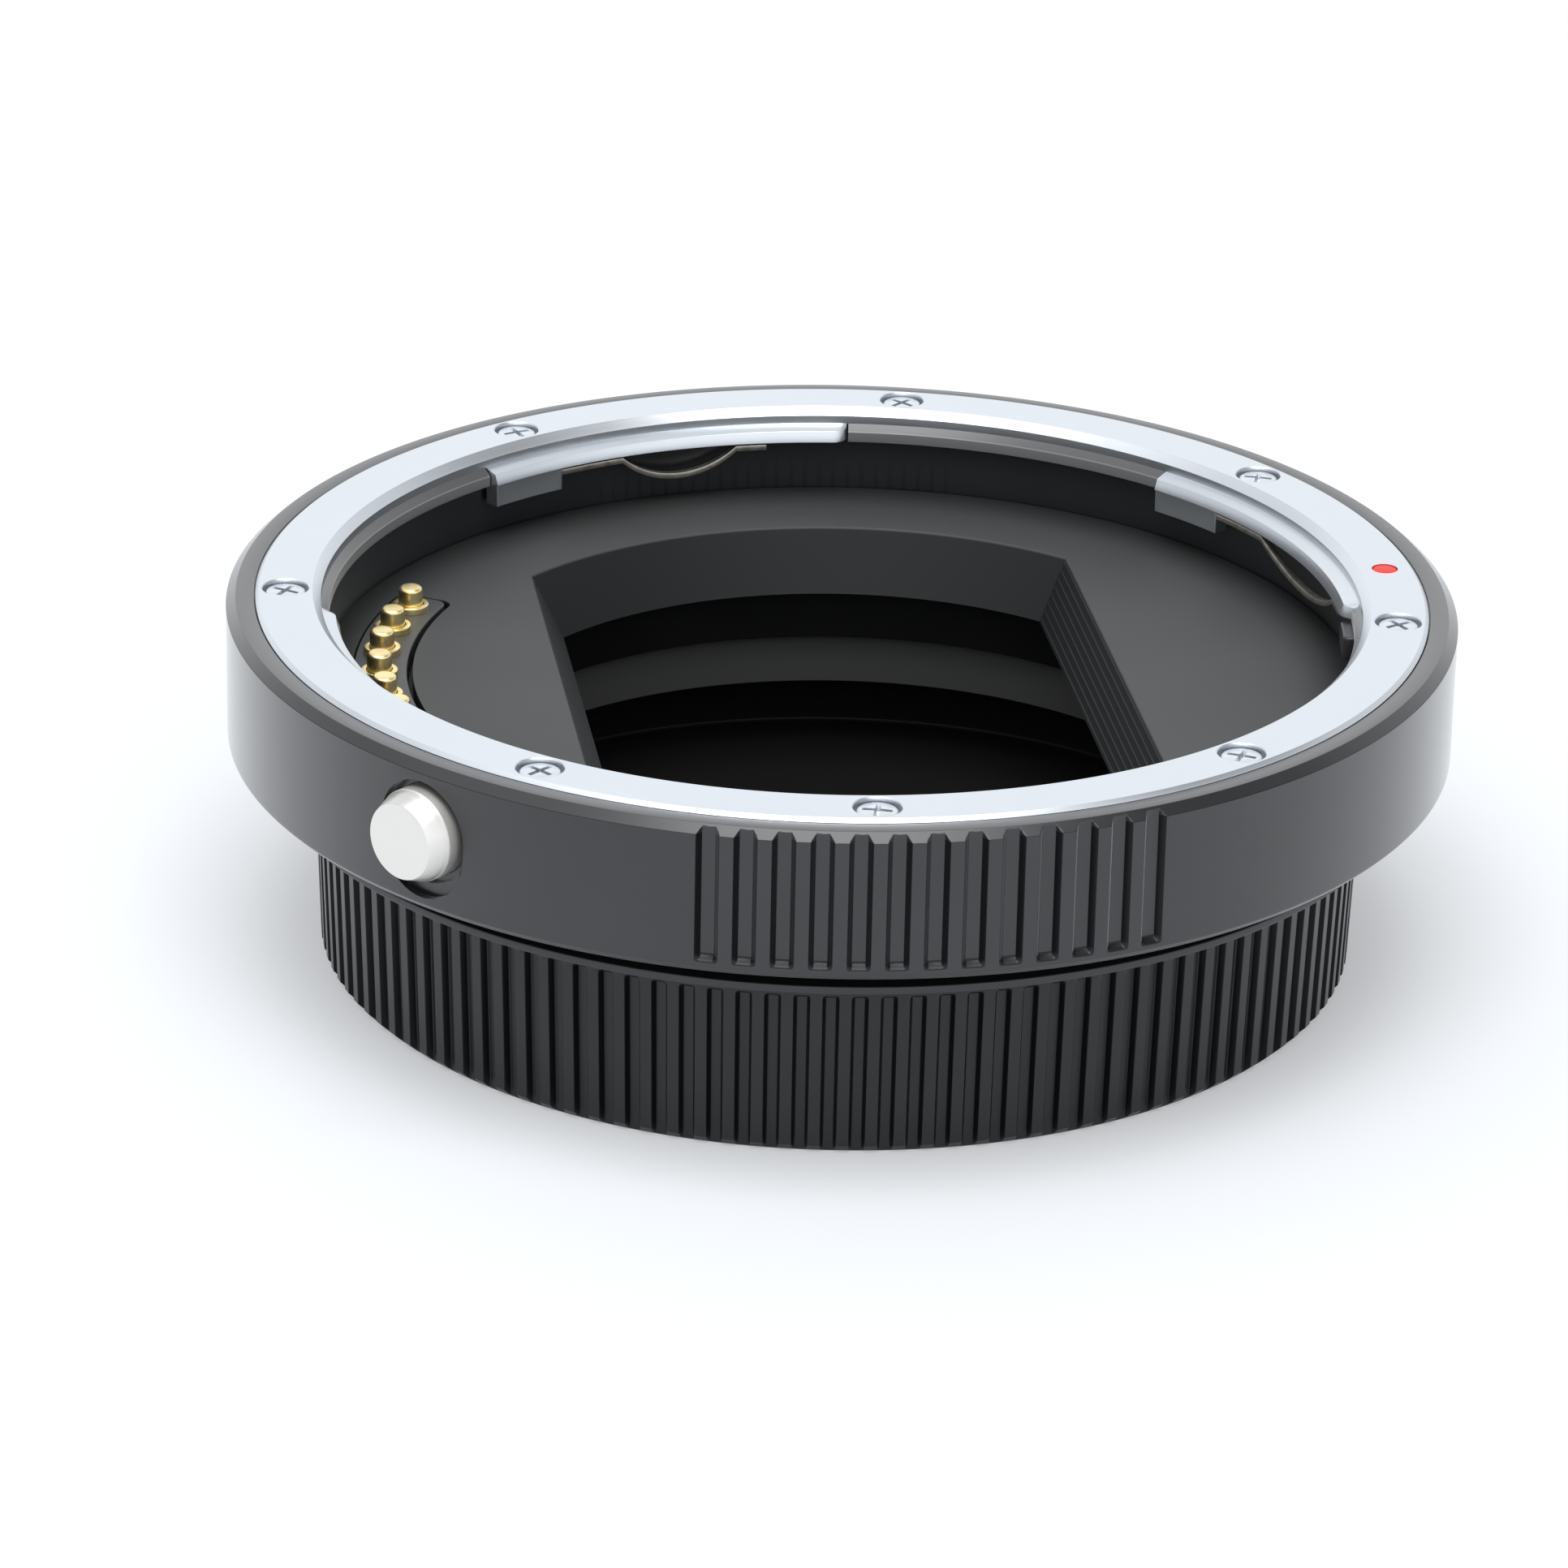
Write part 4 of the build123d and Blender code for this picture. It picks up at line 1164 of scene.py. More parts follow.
    def pockets(self) -> Shape:
        """Make the screw pockets with their holes, and the dot's recess."""
        seat = LEVELS.lens_seat
        depth = self.head_sink + self.head_height
        hole, bevel = self.shank_radius + self.hole_gap, self.pocket_bevel
        pocket = rounded(
            [
                (0, seat - 2 * self.thickness, 0),
                (hole, seat - 2 * self.thickness, 0),
                (hole, seat - depth, 0),
                (self.head_pocket, seat - depth, 0),
                (self.head_pocket, seat - bevel, 0),
                (self.head_pocket + 2 * bevel, seat + bevel, 0),
                (0, seat + bevel, 0),
            ]
        )
        spots = [place(self.screw_circle, heading) for heading in self.screw_headings]
        dot = disc(self.dot_radius + self.hole_gap, seat - self.dot_depth, seat + PAST)
        dot_spot = place(self.dot_circle, self.dot_heading)
        return Shape.joined([Shape.turned(pocket, 72).at(spots), Shape.turned(dot, 48).at([dot_spot])])

    def flange(self) -> Shape:
        """Fuse tabs and feet to the plate and cut the pockets."""
        tabs = [self.tab(start, end) for start, end, _ in self.tabs]
        feet = [self.foot(end) for _, end, _ in self.tabs]
        whole = self.plate().worked(Join.FUSE, *tabs).worked(Join.FUSE, *feet)
        return whole.worked(Join.CUT, self.pockets())

    def screw(self) -> Shape:
        """Make one cross-head screw with the top of its head at the origin."""
        profile = rounded(
            [
                (0, -self.head_height - self.shank_length, 0),
                (self.shank_radius, -self.head_height - self.shank_length, 0.1),
                (self.shank_radius, -self.head_height, 0),
                (self.head_radius, -self.head_height, 0.04),
                (self.head_radius, 0, 0.14),
                (0, 0.03, 0),
            ]
        )
        long, thin = self.cross_length / 2, self.cross_width / 2
        quarter = [(long, -thin, 0.03), (long, thin, 0.03), (thin, thin, 0.06)]
        corners = []
        for turn in range(4):
            cos, sin = (1, 0, -1, 0)[turn], (0, 1, 0, -1)[turn]
            corners += [(cos * x - sin * y, sin * x + cos * y, radius) for x, y, radius in quarter]
        outline = rounded(corners)
        loops = [
            np.column_stack((outline * scale, np.full(len(outline), z)))
            for scale, z in ((1.1, 0.3), (1.0, 0.0), (0.88, -self.cross_depth))
        ]
        return Shape.turned(profile, 64).worked(Join.CUT, Shape.stacked(np.array(loops)))

    def screws(self) -> Shape:
        """Place every flange screw, each with its cross at its own angle."""
        one = self.screw()
        top = LEVELS.lens_seat - self.head_sink
        return Shape.joined(
            one.moved(
                Matrix.Translation(place(self.screw_circle, heading, top))
                @ Matrix.Rotation(math.radians(turn), 4, "Z")
            )
            for heading, turn in zip(self.screw_headings, self.screw_turns)
        )

    def dot(self) -> Shape:
        """Make the paint in the dot's recess."""
        seat = LEVELS.lens_seat
        profile = disc(self.dot_radius, seat - self.dot_depth, seat - self.dot_sink, 0.12)
        return Shape.turned(profile, 64).at([place(self.dot_circle, self.dot_heading)])

    def leaf(self, foot_start: float, bow_span: float) -> Shape:
        """Make one leaf spring: a strip that runs on from the foot and bows down in an arc."""
        circle = (self.leaf_inner + self.leaf_outer) / 2
        tongue = math.degrees(self.leaf_tongue / circle)
        bow_start = foot_start - self.leaf_flat_span
        bow_end = bow_start - bow_span
        headings = np.concatenate(
            (
                np.linspace(foot_start + tongue, bow_start, 14, endpoint=False),
                np.linspace(bow_start, bow_end, 40, endpoint=False),
                np.linspace(bow_end, bow_end - self.leaf_end_span, 6),
            )
        )
        half = circle * math.sin(math.radians(bow_span / 2))
        arc_radius = (half**2 + self.leaf_bow**2) / (2 * self.leaf_bow)
        across = circle * np.sin(np.radians(headings - (bow_start + bow_end) / 2))
        drop = np.sqrt(np.maximum(arc_radius**2 - across**2, 0)) - arc_radius + self.leaf_bow
        middle = self.tab_bottom - self.leaf_gap - self.leaf_thickness / 2
        z = middle - np.maximum(drop, 0)
        wide, high = (self.leaf_outer - self.leaf_inner) / 2, self.leaf_thickness / 2
        corners = [(-wide, -high, 0.08), (wide, -high, 0.08), (wide, high, 0.08), (-wide, high, 0.08)]
        section = rounded(corners, 2)
        return Shape.stacked(wrapped(headings, circle + section[:, 0], z[:, None] + section[:, 1]))

    def stop(self) -> Shape:
        """Make the turn stop with its pin."""
        low, high = heights("stop_block")
        circle = self.stop_inner
        half = math.degrees(self.stop_width / 2 / circle)
        span = (self.stop_heading - half, self.stop_heading + half)
        corners = span_corners(span, (self.stop_inner, self.stop_outer), circle, self.stop_corner)
        pin = disc(self.stop_pin_radius, self.stop_inner + self.stop_pin_bury, self.stop_pin_end)
        pin_frame = radial(self.stop_heading, (low + high) / 2)
        block = Shape.sector(corners, circle, low, high, self.stop_edge)
        return block.worked(Join.FUSE, Shape.turned(pin, 32).moved(pin_frame))

    def build(self) -> None:
        """Build the flange and everything on it."""
        leaves = Shape.joined(self.leaf(end - self.foot_span, bow_span) for _, end, bow_span in self.tabs)
        self.piece("flange_plate", self.flange(), self.flange_finish, Tie("flange_steel", "lens_flange"))
        screw_tie = Tie("screw_steel", "flange_screws")
        self.piece("flange_screw_set", self.screws(), self.screw_finish, screw_tie)
        self.piece("index_mark", self.dot(), self.dot_finish, Tie("dot_red", "index_dot"))
        self.piece("leaf_spring_set", leaves, self.leaf_finish, Tie("spring_steel", "tab_springs"))
        self.piece("turn_stop", self.stop(), self.stop_finish, Tie("stop_dark", "stop_block"))


@dataclass
class LightBaffle(SubAssembly):
    """The matt black floor with its cropped round opening, funnel and light-trap ridges."""

    radius: float = 31.2
    thickness: float = 1.0
    opening_radius: float = 24.1
    opening_half_width: float = 16.85
    arc_taper: float = 2.45
    side_taper: float = 1.85
    wall: float = 0.9
    ridge_count: int = 8
    ridge_height: float = 0.07
    ridge_top_share: float = 0.15
    lip: float = 0.07
    edge: float = 0.05
    middle_radius: float = 28.0
    side_count: int = 24
    arc_count: int = 60
    cutout_inner: float = 25.65
    cutout_outer: float = 29.28
    cutout_corner: float = 0.8
    cutout_half_span: float = 30.77
    pin_circle: float = 31.0
    pin_heading: float = OuterRing.button_heading
    pin_hole_radius: float = 1.4
    finish: Finish = BlackFinish(
        "baffle_matt_painted_shade",
        dark=(0.033, 0.034, 0.034),
        light=(0.041, 0.042, 0.042),
        roughness=0.6,
        grain_mm=0.12,
        grain_depth_mm=0.012,
        cloud_mm=9.0,
        specular=0.15,
        coat=0.7,
        painted_light_zones=(
            # Painted shade: the funnel below the floor is darker, with less coat.
            PaintedLightZone((0.008, 0.0083, 0.0086), heights=(-1.0, 16.9), soft=0.06, gloss=0.3),
            # Painted shade: the floor darkens softly towards the ring's wall.
            PaintedLightZone((0.012, 0.0123, 0.0126), radii=(29.2, 100.0), soft=2.2, gloss=0.35),
        ),
    )

    def row(self, radius: float, z: float, half_width: float | None = None) -> np.ndarray:
        """Give one round of points.

        Args:
            radius: the circle's radius.
            z: the height.
            half_width: where the straight sides crop the circle, if they do.

        Returns:
            The points, in step with every other row.
        """
        middle = math.acos(self.opening_half_width / self.opening_radius)
        corner = math.acos(half_width / radius) if half_width else middle
        side = np.linspace(-corner, corner, self.side_count, endpoint=False)
        arc = np.linspace(corner, math.pi - corner, self.arc_count, endpoint=False)
        reach = np.full(len(side), radius)
        if half_width:
            reach = half_width / np.cos(side)
        turns = np.concatenate((side, arc, side + math.pi, arc + math.pi))
        away = np.concatenate((reach, np.full(len(arc), radius)))
        away = np.concatenate((away, away))
        return np.column_stack((away * np.cos(turns), away * np.sin(turns), np.full(len(turns), z)))

    def funnel_row(self, share: float, extra: float = 0.0, outside: float = 0.0) -> np.ndarray:
        """Give a round of the funnel's wall, some way down, with a ridge's height on the straight sides."""
        height = LEVELS.floor - LEVELS.funnel_end
        return self.row(
            self.opening_radius - share * self.arc_taper + outside,
            LEVELS.floor - share * height,
            self.opening_half_width - share * self.side_taper - extra + outside,
        )

    def body(self) -> Shape:
        """Sweep floor, funnel and ridges as one closed section."""
        floor, lip = LEVELS.floor, self.lip
        bend = 0.3 * lip
        height = floor - LEVELS.funnel_end
        rows = [
            self.row(self.radius, floor - self.edge),
            self.row(self.radius - self.edge, floor),
            self.row(self.middle_radius, floor),
            self.row(self.opening_radius + lip, floor, self.opening_half_width + lip),
            self.row(self.opening_radius + bend, floor - bend, self.opening_half_width + bend),
            self.funnel_row(lip / height),
        ]
        half = self.ridge_height / 2 / height
        top = self.ridge_top_share * half
        for ridge in range(self.ridge_count):
            share = (ridge + 0.5) / self.ridge_count
            rows.append(self.funnel_row(share - half))
            rows.append(self.funnel_row(share - top, self.ridge_height))
            rows.append(self.funnel_row(share + top, self.ridge_height))
            rows.append(self.funnel_row(share + half))
        plate = self.thickness / height
        rows += [
            self.funnel_row(1.0),
            self.funnel_row(1.0, outside=self.wall),
            self.funnel_row(plate, outside=self.wall),
            self.row(self.radius, floor - self.thickness),
        ]
        return Shape.swept(np.array(rows).transpose(1, 0, 2))

    def cutters(self) -> list[Shape]:
        """Make the contact block's cut-out and the lock pin's hole."""
        low, high = LEVELS.floor - 2 * self.thickness, LEVELS.floor + PAST
        circle = (self.cutout_inner + self.cutout_outer) / 2
        block = contact_outline(
            self.cutout_inner, self.cutout_outer, self.cutout_half_span, self.cutout_corner, circle
        )
        pin = Shape.turned(disc(self.pin_hole_radius, low, high), 48)
        return [
            Shape.sector(block, circle, low, high),
            pin.at([place(self.pin_circle, self.pin_heading)]),
        ]

    def build(self) -> None:
        """Build the baffle."""
        shape = self.body().worked(Join.CUT, *self.cutters())
        self.piece("baffle_tray", shape, self.finish, Tie("baffle_black", "baffle"))


def contact_outline(
    inner: float, outer: float, half_span: float, corner: float, circle: float, heading: float = -90.0
) -> list[Corner]:
    """Give the corners of a curved contact block, as (length along a circle, radius, rounding)."""
    span = (heading - half_span, heading + half_span)
    return span_corners(span, (inner, outer), circle, corner, corner)


@dataclass
class ContactSet(SubAssembly):
    """The curved contact block with its gold sleeves and sprung pins."""

    circle: float = 27.65
    count: int = 8
    pitch: float = 7.5
    heading: float = -90.0
    block_inner: float = 26.0
    block_outer: float = 29.2
    block_half_span: float = 30.6
    block_corner: float = 0.8
    sleeve_radius: float = 1.0
    sleeve_bore: float = 0.8
    sleeve_rim: float = 1.12
    sleeve_rim_height: float = 0.42
    sleeve_base: float = 0.25
    pin_radius: float = 0.75
    pin_dome: float = 0.25
    hole_gap: float = 0.04
    block_finish: Finish = BlackFinish(
        "contact_moulding", dark=(0.044, 0.044, 0.044), light=(0.054, 0.054, 0.055), roughness=0.4
    )
    gold_finish: Finish = PlainMetal(
        "contact_gold_plate",
        dark=(0.90, 0.68, 0.27),
        light=(1.0, 0.85, 0.46),
        roughness=0.3,
        streak_mm=0.7,
    )

    def spots(self) -> list[Place]:
        """Give the places of the contacts, in the order of their numbers."""
        first = self.heading - (self.count - 1) * self.pitch / 2
        return [place(self.circle, first + index * self.pitch) for index in range(self.count)]

    def block(self) -> Shape:
        """Make the block with its sleeve holes."""
        low, high = heights("contact_block")
        corners = contact_outline(
            self.block_inner, self.block_outer, self.block_half_span, self.block_corner, self.circle
        )
        hole = Shape.turned(disc(self.sleeve_radius + self.hole_gap, low - PAST, high + PAST), 48)
        return Shape.sector(corners, self.circle, low, high, 0.08).worked(Join.CUT, hole.at(self.spots()))

    def sleeve(self) -> Shape:
        """Turn one sleeve: a closed barrel with a rim."""
        low, high = heights("contact_sleeves")
        rim_low = high - self.sleeve_rim_height
        profile = rounded(
            [
                (0, low, 0),
                (self.sleeve_radius, low, 0.05),
                (self.sleeve_radius, rim_low, 0),
                (self.sleeve_rim, rim_low, 0.02),
                (self.sleeve_rim, high, 0.07),
                (self.sleeve_bore, high, 0.02),
                (self.sleeve_bore, low + self.sleeve_base, 0),
                (0, low + self.sleeve_base, 0),
            ]
        )
        return Shape.turned(profile, 48)

    def pin(self) -> Shape:
        """Turn one domed pin."""
        low, high = heights("contact_pin_1")
        profile = rounded(
            [
                (0, low, 0),
                (self.pin_radius, low, 0.08),
                (self.pin_radius, high, self.pin_dome),
                (0, high, 0),
            ],
            8,
        )
        return Shape.turned(profile, 48)

    def build(self) -> None:
        """Build the block, the sleeves and each pin."""
        spots = self.spots()
        sleeves = self.sleeve().at(spots)
        block_tie = Tie("contact_plastic", "contact_block")
        self.piece("contact_carrier", self.block(), self.block_finish, block_tie)
        self.piece("contact_barrels", sleeves, self.gold_finish, Tie("contact_gold", "contact_sleeves"))
        pin = self.pin()
        for number, spot in enumerate(spots, start=1):
            node = f"contact_pin_{number}"
            tie = Tie("contact_gold", node, body=node)
            self.piece(f"contact_plunger_{number}", pin.at([spot]), self.gold_finish, tie)


@dataclass
class ReleaseLatch(SubAssembly):
    """The release button, the lock pin that it draws down, and their return springs."""

    heading: float = OuterRing.button_heading
    height: float = OuterRing.button_height
    radius: float = 2.72
    face_radius: float = 2.25
    end: float = 38.5
    bevel: float = 1.27
    back: float = 34.7
    stem_radius: float = 1.1
    stem_tip: float = 32.3
    bore_end: float = OuterRing.bore_end
    travel: float = 1.2
    pin_circle: float = 31.0
    pin_radius: float = 1.2
    pin_gap: float = 0.05
    spring_gap: float = 0.03
    spring_turns: int = 3
    button_wire: float = 0.12
    button_coil: float = 1.9
    lock_wire: float = 0.1
    lock_coil: float = 0.8
    button_finish: Finish = ButtonSteel(
        "button_steel_turned",
        dark=(0.765, 0.75, 0.72),
        light=(0.81, 0.795, 0.765),
        roughness=0.34,
        ring_depth_mm=0.0004,
        dull_outside=2.68,
        heading=OuterRing.button_heading,
        height=OuterRing.button_height,
    )
    pin_finish: Finish = PlainMetal("lock_pin_steel", dark=(0.5, 0.5, 0.5), light=(0.7, 0.7, 0.7))
    spring_finish: Finish = PlainMetal(
        "coil_spring_steel", dark=(0.35, 0.35, 0.36), light=(0.55, 0.55, 0.56)
    )

    def button(self) -> Shape:
        """Turn the button with its bevelled head and stem."""
        profile = rounded(
            [
                (0, self.stem_tip, 0),
                (self.stem_radius, self.stem_tip, 0.06),
                (self.stem_radius, self.back, 0),
                (self.radius, self.back, 0.08),
                (self.radius, self.end - self.bevel, 0.06),
                (self.face_radius, self.end, 0.06),
                (0, self.end, 0),
            ]
        )
        return Shape.turned(profile, 128).moved(radial(self.heading, self.height))

    def lock_pin(self) -> Shape:
        """Turn the lock pin and cut its back away above the ramp."""
        low, high = heights("lock_pin")
        bar = Shape.turned(disc(self.pin_radius, low, high, 0.12), 64)
        ramp_sum = self.stem_tip + self.height - self.stem_radius - self.pin_gap
        far = self.pin_circle + 2 * self.pin_radius
        side = rounded(
            [
                (self.pin_circle, ramp_sum - self.pin_circle, 0),
                (far, ramp_sum - far, 0),
                (far, high + PAST, 0),
                (self.pin_circle, high + PAST, 0),
            ]
        )
        turn = Matrix.Rotation(math.radians(self.heading - 90), 4, "Z")
        wedge = Shape.prism(side, -2 * self.pin_radius, 2 * self.pin_radius)
        upright = Matrix.Rotation(math.pi / 2, 4, "X")
        cut = wedge.moved(turn @ upright)
        return bar.at([place(self.pin_circle, self.heading)]).worked(Join.CUT, cut)

    def coil(self, radius: float, wire: float, length: float) -> Shape:
        """Make a coil spring that stands on the origin."""
        turns = np.linspace(0, 2 * math.pi * self.spring_turns, 40 * self.spring_turns)
        rise = np.linspace(wire, length - wire, len(turns))
        return Shape.tube(np.column_stack((radius * np.cos(turns), radius * np.sin(turns), rise)), wire)

    def springs(self) -> None:
        """Build both springs."""
        gap = self.spring_gap
        length = self.back - self.bore_end
        button = self.coil(self.button_coil, self.button_wire, length - 2 * gap)
        frame_out = radial(self.heading, self.height) @ Matrix.Translation((0, 0, self.bore_end + gap))
        tie = Tie("spring_steel", "button_spring")
        made = self.piece("button_coil", button.moved(frame_out), self.spring_finish, tie)
        anchor = Vector(place(self.bore_end, self.heading, self.height)) * MM
        place(1, self.heading)
        1 - self.travel / length
        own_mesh(made)
        low = heights("lock_spring")[0] - gap
        lock_length = heights("lock_pin")[0] - low
        lock = self.coil(self.lock_coil, self.lock_wire, lock_length - 2 * gap)
        spot = place(self.pin_circle, self.heading, low + gap)
        tie = Tie("spring_steel", "lock_spring")
        made = self.piece("lock_coil", lock.at([spot]), self.spring_finish, tie)
        anchor = Vector(place(self.pin_circle, self.heading, low)) * MM
        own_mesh(made)

    def build(self) -> None:
        """Build button, pin and springs."""
        button_tie = Tie("button_steel", "release_button", body="release_button")
        pin_tie = Tie("pin_steel", "lock_pin", body="lock_pin")
        self.piece("button_head", self.button(), self.button_finish, button_tie)
        self.piece("latch_pin", self.lock_pin(), self.pin_finish, pin_tie)
        self.springs()


@dataclass
class RearMount(SubAssembly):
    """The carrier ring under the baffle, the seal lip, and the rear bayonet with its contacts."""

    hub_radius: float = 31.2
    hub_bore: float = 25.0
    plate_radius: float = 33.4
    recess_radius: float = 30.68
    recess_depth: float = 0.63
    sleeve_radius: float = 24.2
    sleeve_wall: float = 0.9
    lip_radius: float = 34.3
    lip_inner: float = 30.68
    pocket_inner: float = 25.92
    pocket_outer: float = 29.28
    pocket_half_span: float = 30.79
    pocket_corner: float = 0.8
    pin_circle: float = 31.0
    pin_heading: float = OuterRing.button_heading
    pin_hole_radius: float = 1.25
    pin_seat_gap: float = 0.03
    hole_gap: float = 0.05
    hole_top: float = 0.2
    carrier_finish: Finish = BlackFinish(
        "carrier_anodised_painted_highlight",
        dark=(0.003, 0.003, 0.0032),
        light=(0.0042, 0.0042, 0.0045),
        roughness=0.5,
        specular=0.25,
        # Painted highlight: a paler band between heights 13.05 and 13.6 stands for light caught on the
        # ledge there.
        painted_light_zones=(PaintedLightZone((0.018, 0.018, 0.0185), heights=(13.05, 13.6)),),
    )
    lip_finish: Finish = BlackFinish("lip_rubber_satin", roughness=0.4, grain_mm=0.15, specular=0.7)
    bayonet_finish: Finish = TurnedSteel("bayonet_steel_turned", roughness=0.3, black_inside=26.0)
    block_finish: Finish = BlackFinish("rear_moulding", specular=0.4)
    pad_finish: Finish = PlainMetal("rear_pad_gold", dark=(0.8, 0.5, 0.16), light=(0.95, 0.7, 0.3))
    screw_finish: Finish = PlainMetal("rear_screw_steel")

    def carrier(self) -> Shape:
        """Turn the carrier and cut the seats of the contact block, the sleeves and the lock pin."""
        inner = self.sleeve_radius - self.sleeve_wall
        recess = LEVELS.lip_top + self.recess_depth
        profile = rounded(
            [
                (self.hub_bore, LEVELS.hub_top, 0.05),
                (self.hub_radius, LEVELS.hub_top, 0.05),
                (self.hub_radius, LEVELS.ring_bottom, 0),
                (self.plate_radius, LEVELS.ring_bottom, 0.05),
                (self.plate_radius, LEVELS.lip_top, 0.05),
                (self.recess_radius, LEVELS.lip_top, 0.05),
                (self.recess_radius, recess, 0),
                (self.sleeve_radius, recess, 0),
                (self.sleeve_radius, LEVELS.sleeve_end, 0.08),
                (inner, LEVELS.sleeve_end, 0.08),
                (inner, LEVELS.ring_bottom, 0.1),
                (self.hub_bore, LEVELS.ring_bottom, 0.1),
            ]
        )
        seat = heights("contact_block")[0]
        circle = (self.pocket_inner + self.pocket_outer) / 2
        corners = contact_outline(
            self.pocket_inner, self.pocket_outer, self.pocket_half_span, self.pocket_corner, circle
        )
        contacts = ContactSet()
        hole_end = heights("contact_sleeves")[0] - self.hole_gap
        hole_radius = contacts.sleeve_radius + self.hole_gap
        hole = Shape.turned(disc(hole_radius, hole_end, seat + self.hole_top), 32)
        pin_seat = heights("lock_spring")[0] - self.pin_seat_gap
        pin = Shape.turned(disc(self.pin_hole_radius, pin_seat, LEVELS.hub_top + PAST), 32)
        return Shape.turned(profile, 360).worked(
            Join.CUT,
            Shape.sector(corners, circle, seat, LEVELS.hub_top + PAST),
            hole.at(contacts.spots()),
            pin.at([place(self.pin_circle, self.pin_heading)]),
        )

    def lip(self) -> Shape:
        """Turn the seal lip."""
        low, high = LEVELS.rear_seat, LEVELS.lip_top
        corners = [
            (self.lip_inner, low, 0.04),
            (self.lip_radius, low, 0.12),
            (self.lip_radius, high, 0.12),
            (self.lip_inner, high, 0.04),
        ]
        return Shape.turned(rounded(corners, 4), 540)

    def build(self) -> None:
        """Build carrier and lip, and dress what stays hidden inside the cap."""
        self.piece("carrier_hub", self.carrier(), self.carrier_finish, Tie("carrier_black", "rear_carrier"))
        self.piece("lip_ring", self.lip(), self.lip_finish, Tie("lip_rubber", "seal_lip"))
        hidden = {
            "rear_bayonet": self.bayonet_finish,
            "bayonet_screws": self.screw_finish,
            "carrier_screws": self.screw_finish,
            "rear_contact_block": self.block_finish,
            "rear_contact_pads": self.pad_finish,
        }
        for node, finish in hidden.items():
            self.dress(node, finish)


@dataclass
class RearCap(SubAssembly):
    """The ribbed, slightly tapered rear cap with its inner tabs."""

    foot_radius: float = 31.22
    rim_radius: float = 31.6
    bore: float = 29.2
    floor: float = 1.6
    foot_chamfer: float = 0.5
    foot_shares: tuple[float, ...] = (0.15, 0.4, 0.65, 0.9)
    first_row: float = 1.2
    base_inset: float = 3.0
    floor_insets: tuple[float, ...] = (0.45, 6.0)
    rib_count: int = 120
    groove: Groove = Groove(depth=0.44, mouth=0.95, floor=0.6, soft=0.025)
    band: float = 1.4
    runout: float = 0.2
    tab_headings: tuple[float, ...] = (45, 135, 225, 315)
    tab_span: float = 40.0
    tab_reach: float = 2.0
    tab_low: float = 8.15
    tab_high: float = 9.75
    tab_bury: float = 0.4
    tab_corner: float = 0.3
    tab_edge: float = 0.08
    finish: Finish = BlackFinish(
        "cap_moulding_painted_shade",
        dark=(0.007, 0.007, 0.0074),
        light=(0.011, 0.011, 0.0116),
        roughness=0.36,
        grain_mm=0.16,
        grain_depth_mm=0.006,
        specular=0.12,
        coat=0.62,
        painted_light_zones=(
            # Painted shade: inside the cap one flat dark tone with no coat.
            PaintedLightZone((0.010, 0.010, 0.0105), radii=(-1.0, 29.6), taper=0.035, gloss=0.0),
            # Painted shade: the depths of the rib grooves are darker, with less coat.
            PaintedLightZone((0.004, 0.004, 0.0045), radii=(30.83, 31.19), soft=0.012, taper=0.035, gloss=0.2),
        ),
    )

    def land(self, z: np.ndarray) -> np.ndarray:
        """Give the radius of the ribs at a height."""
        return self.foot_radius + (self.rim_radius - self.foot_radius) * z / heights("rear_cap")[1]

    def cup(self) -> Shape:
        """Sweep the ribbed wall with rim, inside and floor."""
        top = heights("rear_cap")[1]
        groove_top = top - self.band
        foot = float(self.land(np.array(self.foot_chamfer)))
        rows = [*np.linspace(self.first_row, groove_top - 2 * self.runout, 6)]
        rows += [*np.linspace(groove_top - self.runout, groove_top + self.runout / 2, 5)]
        low_radius = self.foot_radius - self.foot_chamfer
        chamfer = [
            (low_radius + (foot - low_radius) * share, self.foot_chamfer * share, 0)
            for share in self.foot_shares
        ]
        profile = rounded(
            [
                (0, 0, 0),
                (low_radius - self.base_inset, 0, 0),
                (low_radius, 0, 0.03),
                *chamfer,
                (foot, self.foot_chamfer, 0.03),
                *((float(self.land(np.array(z))), z, 0) for z in rows),
                (self.rim_radius, top, 0.12),
                (self.bore, top, 0.08),
                (self.bore, self.floor, 0.3),
                *((self.bore - inset, self.floor, 0) for inset in self.floor_insets),
                (0, self.floor, 0),
            ]
        )
        turn = np.degrees(self.groove.offsets(3) / self.rim_radius)
        pitch = 360 / self.rib_count
        headings = (np.arange(self.rib_count)[:, None] * pitch + turn).ravel()
        share = np.tile(self.groove.share(np.radians(turn) * self.rim_radius), self.rib_count)
        rise = 1 - smooth_step(profile[:, 1], groove_top - self.runout, groove_top + self.runout / 2)
        limit = self.land(profile[:, 1]) - self.groove.depth * share[:, None] * rise
        radius = np.minimum(profile[:, 0], limit)
        return Shape.swept(wrapped(headings, radius, profile[:, 1]))

    def tab(self, heading: float) -> Shape:
        """Make one inner tab, which hooks over a lug."""
        span = (heading - self.tab_span / 2, heading + self.tab_span / 2)
        radii = (self.bore - self.tab_reach, self.bore + self.tab_bury)
        corners = span_corners(span, radii, self.bore, self.tab_corner)
        return Shape.sector(corners, self.bore, self.tab_low, self.tab_high, self.tab_edge)

    def build(self) -> None:
        """Build the cap."""
        shape = self.cup().worked(Join.FUSE, *(self.tab(heading) for heading in self.tab_headings))
        self.piece("cap_cup", shape, self.finish, Tie("cap_plastic", "rear_cap", body="rear_cap"))


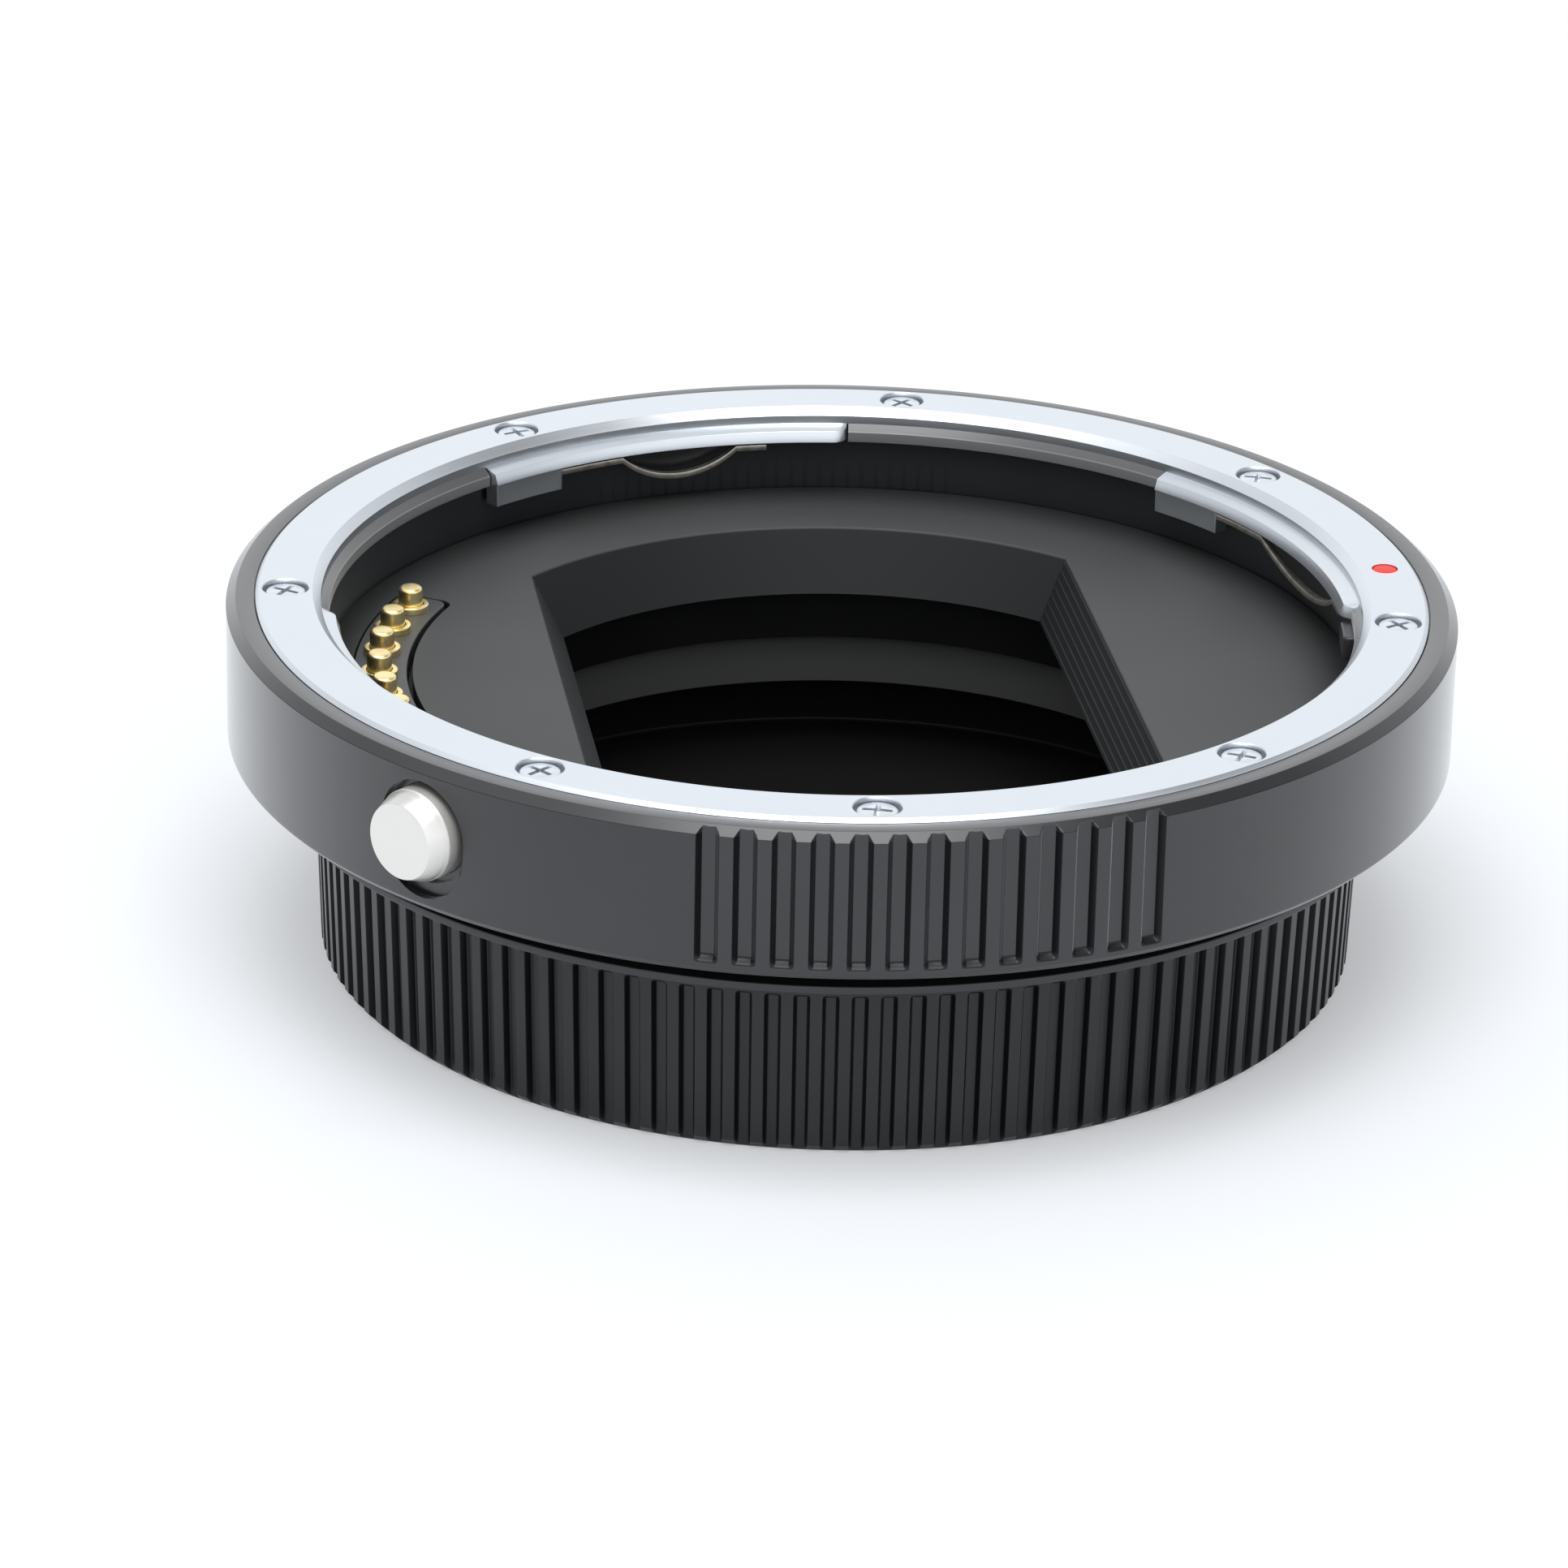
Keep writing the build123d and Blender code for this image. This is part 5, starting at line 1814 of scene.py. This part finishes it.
@dataclass(frozen=True)
class Glow:
    """A soft round patch of the studio's light, brighter or darker than what is about it."""

    towards: Place
    change: float
    start: float
    full: float

    def share(self, right: Sock, depth: Sock, up: Sock) -> Sock:
        """Give 1 in the patch's middle and 0 outside it."""
        x, y, z = self.towards
        return right.graph.step(x * right + y * depth + z * up, self.start, self.full)


@dataclass
class Studio:
    """The pale floor, the soft light and the camera."""

    camera_place: Place = (-58.93, -376.95, 172.41)
    camera_forward: Place = (0.13434, 0.90979, -0.39271)
    camera_up: Place = (0.03675, 0.39145, 0.91946)
    lens_mm: float = 157.36
    sensor_mm: float = 36.0
    floor_half: float = 3000.0
    tint: Colour = (0.955, 0.978, 1.0)
    side_light: float = 0.85
    back_light: float = 1.21
    back_span: tuple[float, float] = (0.6, 0.92)
    front_light: float = 1.3
    front_span: tuple[float, float] = (0.3, 0.8)
    glows: tuple[Glow, ...] = (
        Glow((0.62, 0.0, 0.78), -0.57, 0.88, 0.98),
        Glow((-0.53, 0.0, 0.85), 0.35, 0.9, 0.98),
    )
    key_place: Place = (-60.0, -260.0, 980.0)
    key_size: float = 640.0
    key_power: float = 5.9
    floor_finish: Finish = StudioFloor("floor_paper")

    def camera(self) -> None:
        """Set the camera at the photograph's place."""
        data = bpy.data.cameras.new("camera")
        data.lens = self.lens_mm
        data.sensor_width = self.sensor_mm
        data.clip_start, data.clip_end = 0.01, 20.0
        made = bpy.data.objects.new("camera", data)
        forward, up = Vector(self.camera_forward), Vector(self.camera_up)
        axes = Matrix((forward.cross(up), up, -forward)).transposed().to_4x4()
        made.matrix_world = Matrix.Translation(Vector(self.camera_place) * MM) @ axes
        bpy.context.scene.collection.objects.link(made)
        bpy.context.scene.camera = made

    def floor(self) -> None:
        """Lay the floor under the object."""
        half = self.floor_half * MM
        mesh = bpy.data.meshes.new("floor")
        corners = [(-half, -half, 0), (half, -half, 0), (half, half, 0), (-half, half, 0)]
        mesh.from_pydata(corners, [], [(0, 1, 2, 3)])
        mesh.materials.append(self.floor_finish.material())
        made = bpy.data.objects.new("floor", mesh)
        bpy.context.scene.collection.objects.link(made)

    def world(self) -> None:
        """Light the scene from all round, on a white ground."""
        world = bpy.data.worlds.new("studio")
        world.use_nodes = True
        bpy.context.scene.world = world
        graph = Graph(world.node_tree)
        direction = graph.node("ShaderNodeTexCoord", output="Generated")
        right, depth, up = graph.axes(direction)
        back = graph.step(depth, *self.back_span)
        front = graph.step(0 - depth, *self.front_span)
        light = self.side_light + (self.back_light - self.side_light) * back
        light = light + (self.front_light - self.side_light) * front
        for glow in self.glows:
            light = light + glow.change * glow.share(right, depth, up)
        camera_ray = graph.node("ShaderNodeLightPath", output="Is Camera Ray")
        strength = light * (1 - camera_ray) + camera_ray
        colour = graph.blend(camera_ray, self.tint, (1.0, 1.0, 1.0))
        background = graph.node("ShaderNodeBackground", None, {"Color": colour, "Strength": strength})
        graph.node("ShaderNodeOutputWorld", None, {"Surface": background})

    def key(self) -> None:
        """Hang a large soft lamp overhead."""
        data = bpy.data.lights.new("key", "AREA")
        data.size = self.key_size * MM
        data.energy = self.key_power
        made = bpy.data.objects.new("key", data)
        spot = Vector(self.key_place) * MM
        made.location = spot
        made.rotation_mode = "QUATERNION"
        made.rotation_quaternion = (-spot).to_track_quat("-Z", "Y")
        bpy.context.scene.collection.objects.link(made)

    def build(self) -> None:
        """Build the studio."""
        bpy.context.scene.view_settings.view_transform = "Standard"
        self.camera()
        self.floor()
        self.world()
        self.key()


def main() -> None:
    """Build every sub-assembly and the studio."""
    logging.basicConfig(level=logging.INFO, format="%(name)s: %(message)s")
    kinds = (OuterRing, LensMount, LightBaffle, ContactSet, ReleaseLatch, RearMount, RearCap)
    for kind in kinds:
        part = kind()
        part.build()
        LOG.info("%s done", type(part).__name__)
    Studio().build()


if __name__ == "__main__":
    main()
